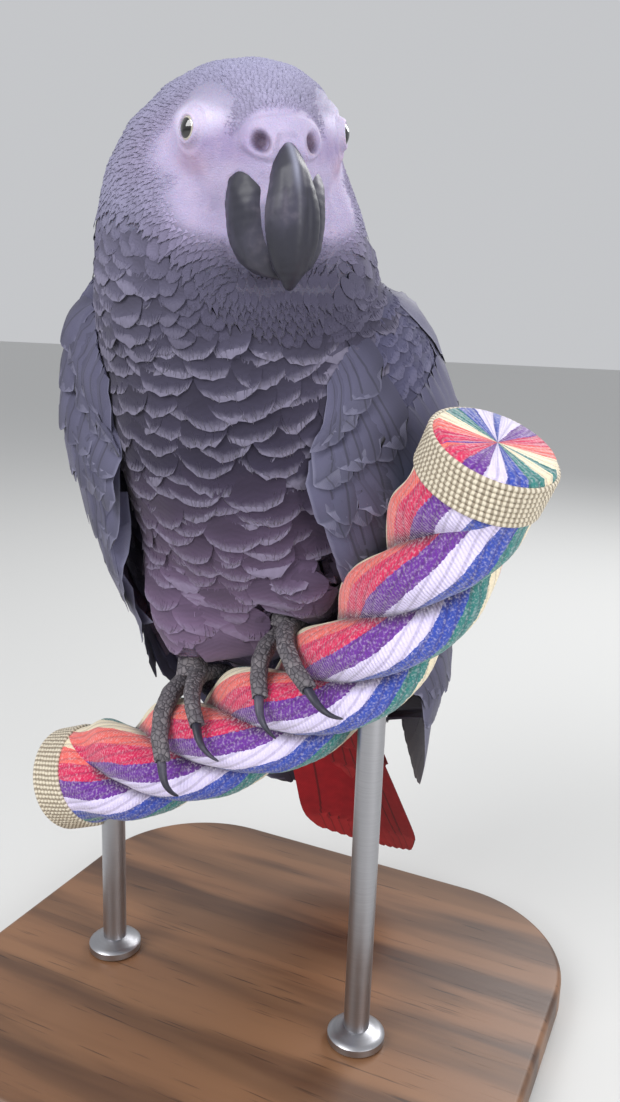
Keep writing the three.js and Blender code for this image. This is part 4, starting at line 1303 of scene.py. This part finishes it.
# ---------------------------------------------------------------- feet
# The feet are bare, with dark grey skin in small horny plates. Two toes go forwards and two backwards round
# the rope, and their pads press into it a little.
FOOT_VOXEL = 0.5 * MM
feet = []
for hand in SIDES:
    foot = fused(["foot_" + hand], "foot_skin_" + hand, FOOT_VOXEL, 0.05 * MM, 6)
    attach(foot, "root")
    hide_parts("foot_" + hand)
    feet.append(foot)
paint = Paint("scaly_skin")
place = paint.place()
plates = paint.cells(place, 620, "DISTANCE_TO_EDGE")
shade = paint.cells(place, 620, "F1", "Color")
soft = paint.noise(place, 300, 3)
seam = paint.band(plates, 0.0, 0.12)
tone = paint.mix(paint.part(shade, "X"), linear(92, 88, 94), linear(128, 122, 126))
tone = tone.washed(1 - seam, 52, 48, 54)
tone = tone.washed(soft * 0.3, 70, 66, 74)
height = paint.band(plates, 0.0, 0.3) * 1.2 + soft * 0.3
paint.finish(
    *feet,
    Base_Color=tone,
    Roughness=0.6 + soft * 0.15,
    Normal=paint.bump(height, 0.7, 0.3 * MM),
    Specular_IOR_Level=0.35,
)

# ---------------------------------------------------------------- rope perch
# A cut length of thick cotton rope, laid from three strands. Each strand is twisted from dyed yarns in
# seven colours, which come round to lie along the rope. Its two cut ends are bound with waxed twine.
ROPE_RADIUS, ROPE_PITCH, ROPE_FROM, ROPE_TO = 18, 92, -72, 76
STRANDS, STRAND_RADIUS = 3, 10.2  # they are pressed together, so that they overlap in section
WHIPPED, FREE, WHIP_INSET = 0.06, 0.13, 1.6  # shares of the length, and mm
END_SHARES = (0.55, 0.94)  # how far the last two rings of places draw in at a cut end
ROPE_COLOURS = (
    (236, 222, 190),
    (232, 104, 96),
    (206, 40, 88),
    (104, 48, 146),
    (216, 206, 240),
    (52, 74, 168),
    (46, 122, 118),
)
YARNS = 5  # to each colour
BAND_START, BAND_SLANT = 3.7, 1.3  # where the colours begin, and how far a strand slants them


def rope_line(x):
    """The rope's middle line in mm, by its place from the bird's right to its left."""
    rise = -4 + (0.62 + 0.0018 * x) * x + 0.0115 * np.maximum(0, x - 18) ** 2
    sway = -0.006 * np.maximum(0, x - 24) ** 2
    return np.stack([x, sway, rise], -1) + BIRD_AT


def rope_frames(steps):
    """Evenly spaced places on the rope's middle line with its lengthwise, upward and sideways ways."""
    xs = np.linspace(ROPE_FROM, ROPE_TO, 4000)
    line = rope_line(xs)
    run = np.concatenate([[0], np.cumsum(np.linalg.norm(np.diff(line, axis=0), axis=1))])
    share = np.linspace(0, 1, steps + 1)
    middle = rope_line(np.interp(share * run[-1], run, xs))
    lengthwise = unit(np.gradient(middle, axis=0))
    up = unit(np.cross(lengthwise, (0, 1, 0)))
    aside = unit(np.cross(up, lengthwise))
    return share, run[-1], middle, lengthwise, up, aside


def ring_tube(name, rings, told):
    """A closed tube through rings of places, its ends filled by a fan to their middles."""
    count, sides = rings.shape[:2]
    co = np.concatenate([rings.reshape(-1, 3), rings[0].mean(0)[None], rings[-1].mean(0)[None]]) * MM
    faces = []
    for j in range(count - 1):
        for i in range(sides):
            k = (i + 1) % sides
            faces.append((j * sides + i, j * sides + k, (j + 1) * sides + k, (j + 1) * sides + i))
    first, last, top = count * sides, count * sides + 1, (count - 1) * sides
    for i in range(sides):
        k = (i + 1) % sides
        faces.append((k, i, first))
        faces.append((top + i, top + k, last))
    me = bpy.data.meshes.new(name)
    me.from_pydata(co.tolist(), [], faces)
    smooth_faces(me)
    o = put(name, me)
    for key, values in told.items():
        tell(o, key, np.concatenate([values.ravel(), [values[0].mean(), values[-1].mean()]]))
    with editing(o):
        bpy.ops.mesh.normals_make_consistent(inside=False)
    return o


ROPE_STEPS, ROPE_SIDES = 330, 132
colours = len(ROPE_COLOURS)
share, rope_length, middle, lengthwise, up, aside = rope_frames(ROPE_STEPS)
angle = np.linspace(0, 2 * np.pi, ROPE_SIDES, endpoint=False)[None, :]
turn = 2 * np.pi * (share * rope_length / ROPE_PITCH)[:, None]
laid = ramp(np.minimum(share, 1 - share), WHIPPED, FREE)[:, None]
strand = (STRANDS / 2 * (angle - turn) / np.pi + 0.5) % 1 - 0.5  # -0.5 to 0.5 from groove to groove
local = strand * 2 * np.pi / STRANDS
strand_at = ROPE_RADIUS - STRAND_RADIUS
strand_back = np.sqrt(STRAND_RADIUS**2 - (strand_at * np.sin(local)) ** 2)
groove = ROPE_RADIUS - strand_at * np.cos(local) - strand_back
crown = 1 - 2 * np.abs(strand)
# Yarns run along the rope on a strand's back and dip into the grooves at its sides.
yarn = angle * colours / np.pi * YARNS
yarn_relief = 0.3 * (np.abs(np.cos(np.pi * yarn)) ** 0.7 - 1) * ramp(crown, 0.05, 0.3)
radius = ROPE_RADIUS - groove * laid + yarn_relief * laid - WHIP_INSET * (1 - laid)
# A laid rope is nowhere quite round.
knock = 0.35 * np.sin(5.1 * angle + 40 * share[:, None]) * np.sin(23 * share[:, None] + angle)
radius = radius + knock * laid * 0.6
around = np.cos(angle)[..., None] * aside[:, None, :] + np.sin(angle)[..., None] * up[:, None, :]
rings = middle[:, None, :] + radius[..., None] * around
for end, step in ((0, 1), (-1, -1)):
    for k, share_in in enumerate(END_SHARES):
        j = end + k * step
        rings[j] = middle[end] + (rings[j] - middle[j]) * share_in
told = {
    "turned": np.broadcast_to(np.cos(angle), radius.shape),
    "raised": np.broadcast_to(np.sin(angle), radius.shape),
    "length": np.broadcast_to((share * rope_length)[:, None], radius.shape),
    "end": np.broadcast_to(1 - laid, radius.shape),
}
rope = ring_tube("perch_rope_laid", rings, told)
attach(rope, "root")
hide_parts("perch_rope")

paint = Paint("dyed_cotton")
place = paint.place()
raised, turned = paint.said("raised"), paint.said("turned")
angle = raised.sum("ARCTAN2", raised, turned)  # round the rope
length = paint.said("length")
wander = paint.noise(place, 90, 2) - 0.5
hair = paint.noise(place, 1400, 3)
turns = (angle - length * (2 * math.pi / ROPE_PITCH)) * (STRANDS / 2 / math.pi) + 0.5
across = turns.sum("FRACT", turns) - 0.5
crown = 1 - across.size() * 2 + paint.said("end")
band = angle * (colours / math.pi) + across * BAND_SLANT + wander * 0.35 + (hair - 0.5) * 0.18 + BAND_START
share = (band / colours).sum("FRACT", band / colours)
stops = [(i / colours, linear(*c)) for i, c in enumerate(ROPE_COLOURS)]
tone = paint.node("ValToRGB", {"stops": stops}, {"Fac": share}, "Color")
yarn = angle * (colours * YARNS) + wander * 2
plies = (length * 5.2 + yarn * 1.6 + hair * 2.5).wave()
# The grooves between the strands are painted dark, as painted shade in them; the bound ends are not.
tone = tone.washed(paint.band(crown, 0.3, 0.0) * 0.8, 36, 22, 44)
# The hollows between the yarns, where the relief is lowest, are painted darker: painted shade.
tone = tone.washed(paint.band(yarn.wave(), -0.35, -1) * 0.3, 60, 36, 70)
tone = tone.washed(paint.band(hair, 0.45, 0.75) * 0.3, 240, 232, 238)
height = plies * 0.5 + hair * 1.2 + yarn.wave() * 0.6
paint.finish(
    rope,
    Base_Color=tone,
    Roughness=0.86 + hair * 0.1,
    Normal=paint.bump(height, 0.6, 0.35 * MM),
    Specular_IOR_Level=0.2,
    Sheen_Weight=0.35,
    Sheen_Roughness=0.5,
)

# Waxed twine is wound tightly round each cut end.
TWINE, TWINE_TURNS, TWINE_START = 0.75, 8, 1.2
for hand, ahead in (("right", 1), ("left", -1)):
    wound = np.linspace(0, 1, TWINE_TURNS * 40 + 1)
    run = TWINE_START + wound * TWINE_TURNS * 2 * TWINE * 0.95
    at = run / rope_length if ahead > 0 else 1 - run / rope_length
    index, steps = at * ROPE_STEPS, np.arange(ROPE_STEPS + 1)
    found = []
    for source in (middle, lengthwise, up, aside):
        found.append(np.stack([np.interp(index, steps, source[:, k]) for k in range(3)], 1))
    centre, along_rope, up_rope, aside_rope = found
    swing = 2 * np.pi * TWINE_TURNS * wound
    outward = np.cos(swing)[:, None] * aside_rope + np.sin(swing)[:, None] * up_rope
    line = centre + outward * (ROPE_RADIUS - WHIP_INSET + TWINE * 0.35)
    ring = np.linspace(0, 2 * np.pi, 8, endpoint=False)[None, :, None]
    around = np.cos(ring) * outward[:, None, :] + np.sin(ring) * along_rope[:, None, :]
    rings = line[:, None, :] + TWINE * around
    told = {"wound": np.broadcast_to((wound * TWINE_TURNS)[:, None], rings.shape[:2])}
    twine = ring_tube("rope_twine_" + hand, rings, told)
    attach(twine, "root")
    paint = Paint("waxed_twine_" + hand)
    twist = (paint.said("wound") * 420 + paint.noise(paint.place(), 500, 2) * 3).wave()
    # The twine is painted darker in the hollows between its turns, where its relief is lowest: painted
    # shade.
    tone = paint.mix(paint.band(twist, -0.6, 0.4), linear(150, 138, 120), linear(214, 204, 184))
    relief = paint.bump(twist, 0.6, 0.2 * MM)
    paint.finish(twine, Base_Color=tone, Roughness=0.55 + twist * 0.08, Normal=relief)

# ---------------------------------------------------------------- display stand
# A flat base of oiled walnut with round corners carries two brushed steel rods. Each rod is screwed into
# the base through a turned collar, and its upper end is glued into the rope.
BASE_SIZE, BASE_CORNER, BASE_EDGE = (190, 170, 12), 46, 2.2
ROD_RADIUS, COLLAR_RADIUS, COLLAR_HEIGHT, ROD_SUNK = 4, 9, 5, 9
ROD_PLACES = (("left", 42.0), ("right", -52.0))


def bevel_edges(o, chosen, offset, segments):
    """Rounds those edges of a piece in edit mode that the test chooses."""
    bpy.ops.mesh.select_all(action="DESELECT")
    mesh = bmesh.from_edit_mesh(o.data)
    for edge in mesh.edges:
        edge.select = chosen(edge)
    bmesh.update_edit_mesh(o.data)
    bpy.ops.mesh.bevel(offset=offset * MM, offset_type="OFFSET", segments=segments, profile=0.5)


def drop(edge):
    return abs(edge.verts[0].co.z - edge.verts[1].co.z) / MM


def on_rim(edge):
    return drop(edge) < 0.01 and len({round(f.normal.z) for f in edge.link_faces}) > 1


bpy.ops.object.select_all(action="DESELECT")
bpy.ops.mesh.primitive_cube_add(size=1, location=(0, 0, BASE_SIZE[2] / 2 * MM))
base = bpy.context.object
base.name = "stand_base_board"
base.scale = [s * MM for s in BASE_SIZE]
bpy.ops.object.transform_apply(location=True, rotation=True, scale=True)
with editing(base, "DESELECT"):
    bevel_edges(base, lambda edge: drop(edge) > 5, BASE_CORNER, 24)
    bevel_edges(base, on_rim, BASE_EDGE, 5)
bpy.ops.object.shade_smooth_by_angle(angle=math.radians(30))
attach(base, "root")
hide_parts("stand_base")

paint = Paint("oiled_walnut")
place = paint.place()
stretched = paint.node("Mapping", {}, {"Vector": place, "Scale": (6, 60, 60), "Location": (3, 1, 2)})
warp = paint.noise(stretched, 1.2, 3)
rings_of_wood = (paint.part(place, "Y") * 210 + paint.part(place, "Z") * 120 + warp * 9).wave()
pores = paint.noise(paint.node("Mapping", {}, {"Vector": place, "Scale": (40, 900, 900)}), 1, 2)
tone = paint.mix(paint.band(rings_of_wood, -1, 1), linear(72, 47, 32), linear(120, 84, 58))
tone = tone.washed(paint.band(warp, 0.35, 0.7) * 0.5, 140, 102, 72)
tone = tone.washed(paint.band(pores, 0.62, 0.75) * 0.7, 40, 25, 18)
height = paint.band(pores, 0.7, 0.58) + rings_of_wood * 0.08
paint.finish(
    base,
    Base_Color=tone,
    Roughness=0.42 + warp * 0.15,
    Normal=paint.bump(height, 0.25, 0.15 * MM),
    Coat_Weight=0.15,
    Coat_Roughness=0.3,
)

rods = []
for hand, x in ROD_PLACES:
    spot = rope_line(np.array(x))
    top = spot[2] - ROPE_RADIUS + ROD_SUNK
    foot = BASE_SIZE[2] + 0.3
    outline = [
        (0, foot), (COLLAR_RADIUS - 0.5, foot), (COLLAR_RADIUS, foot + 0.5), (COLLAR_RADIUS, foot + 2.6),
        (COLLAR_RADIUS - 0.6, foot + 3.2), (COLLAR_RADIUS - 1.6, foot + 3.6), (6.2, foot + 4.1),
        (ROD_RADIUS + 0.7, foot + COLLAR_HEIGHT - 0.2), (ROD_RADIUS, foot + COLLAR_HEIGHT),
        (ROD_RADIUS, top - 0.5), (ROD_RADIUS - 0.5, top), (0, top),
    ]
    me = bpy.data.meshes.new("stand_rod_turned_" + hand)
    places = [((r + spot[0]) * MM, spot[1] * MM, z * MM) for r, z in outline]
    me.from_pydata(places, [(i, i + 1) for i in range(len(places) - 1)], [])
    rod = put("stand_rod_turned_" + hand, me)
    with editing(rod):
        axis_at = (spot[0] * MM, spot[1] * MM, 0)
        bpy.ops.mesh.spin(steps=48, angle=2 * math.pi, center=axis_at, axis=(0, 0, 1))
        bpy.ops.mesh.select_all(action="SELECT")
        bpy.ops.mesh.remove_doubles(threshold=0.001 * MM)
        bpy.ops.mesh.normals_make_consistent(inside=False)
    bpy.ops.object.shade_smooth_by_angle(angle=math.radians(35))
    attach(rod, "root")
    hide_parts("stand_rod_" + hand)
    rods.append(rod)

paint = Paint("brushed_steel")
place = paint.place()
brushed = paint.noise(paint.node("Mapping", {}, {"Vector": place, "Scale": (60, 60, 3000)}), 1, 2)
smudge = paint.noise(place, 60, 3)
tone = paint.mix(brushed * 0.35, linear(176, 176, 180), linear(120, 120, 126))
paint.finish(
    *rods,
    Base_Color=tone,
    Metallic=1.0,
    Roughness=0.24 + smudge * 0.16 + brushed * 0.08,
    Normal=paint.bump(brushed, 0.15, 0.05 * MM),
)


# ---------------------------------------------------------------- floor and light
# A plain pale floor under soft studio light, neither of them part of the model.
floor = put("floor", bpy.data.meshes.new("floor"))
floor.data.from_pydata([(-8, -8, 0), (8, -8, 0), (8, 8, 0), (-8, 8, 0)], [], [(0, 1, 2, 3)])
paint = Paint("studio_floor")
paint.finish(floor, Base_Color=(0.62, 0.62, 0.61, 1), Roughness=0.8)
world = bpy.data.worlds.new("studio")
bpy.context.scene.world = world
world.use_nodes = True
sky = world.node_tree.nodes["Background"].inputs
sky["Color"].default_value = (0.62, 0.63, 0.65, 1)
sky["Strength"].default_value = 0.9
for name, place, size, power in (
    ("key", (-0.34, -0.8, 0.75), 0.6, 8),
    ("fill", (0.8, -0.4, 0.35), 0.6, 5),
    ("back", (0.2, 0.8, 0.8), 0.5, 6),
):
    light = bpy.data.lights.new(name, "AREA")
    light.energy, light.size = power, size
    o = put(name, light)
    o.location = place
    o.rotation_euler = (Vector((0, 0, 0.2)) - Vector(place)).to_track_quat("-Z", "Y").to_euler()
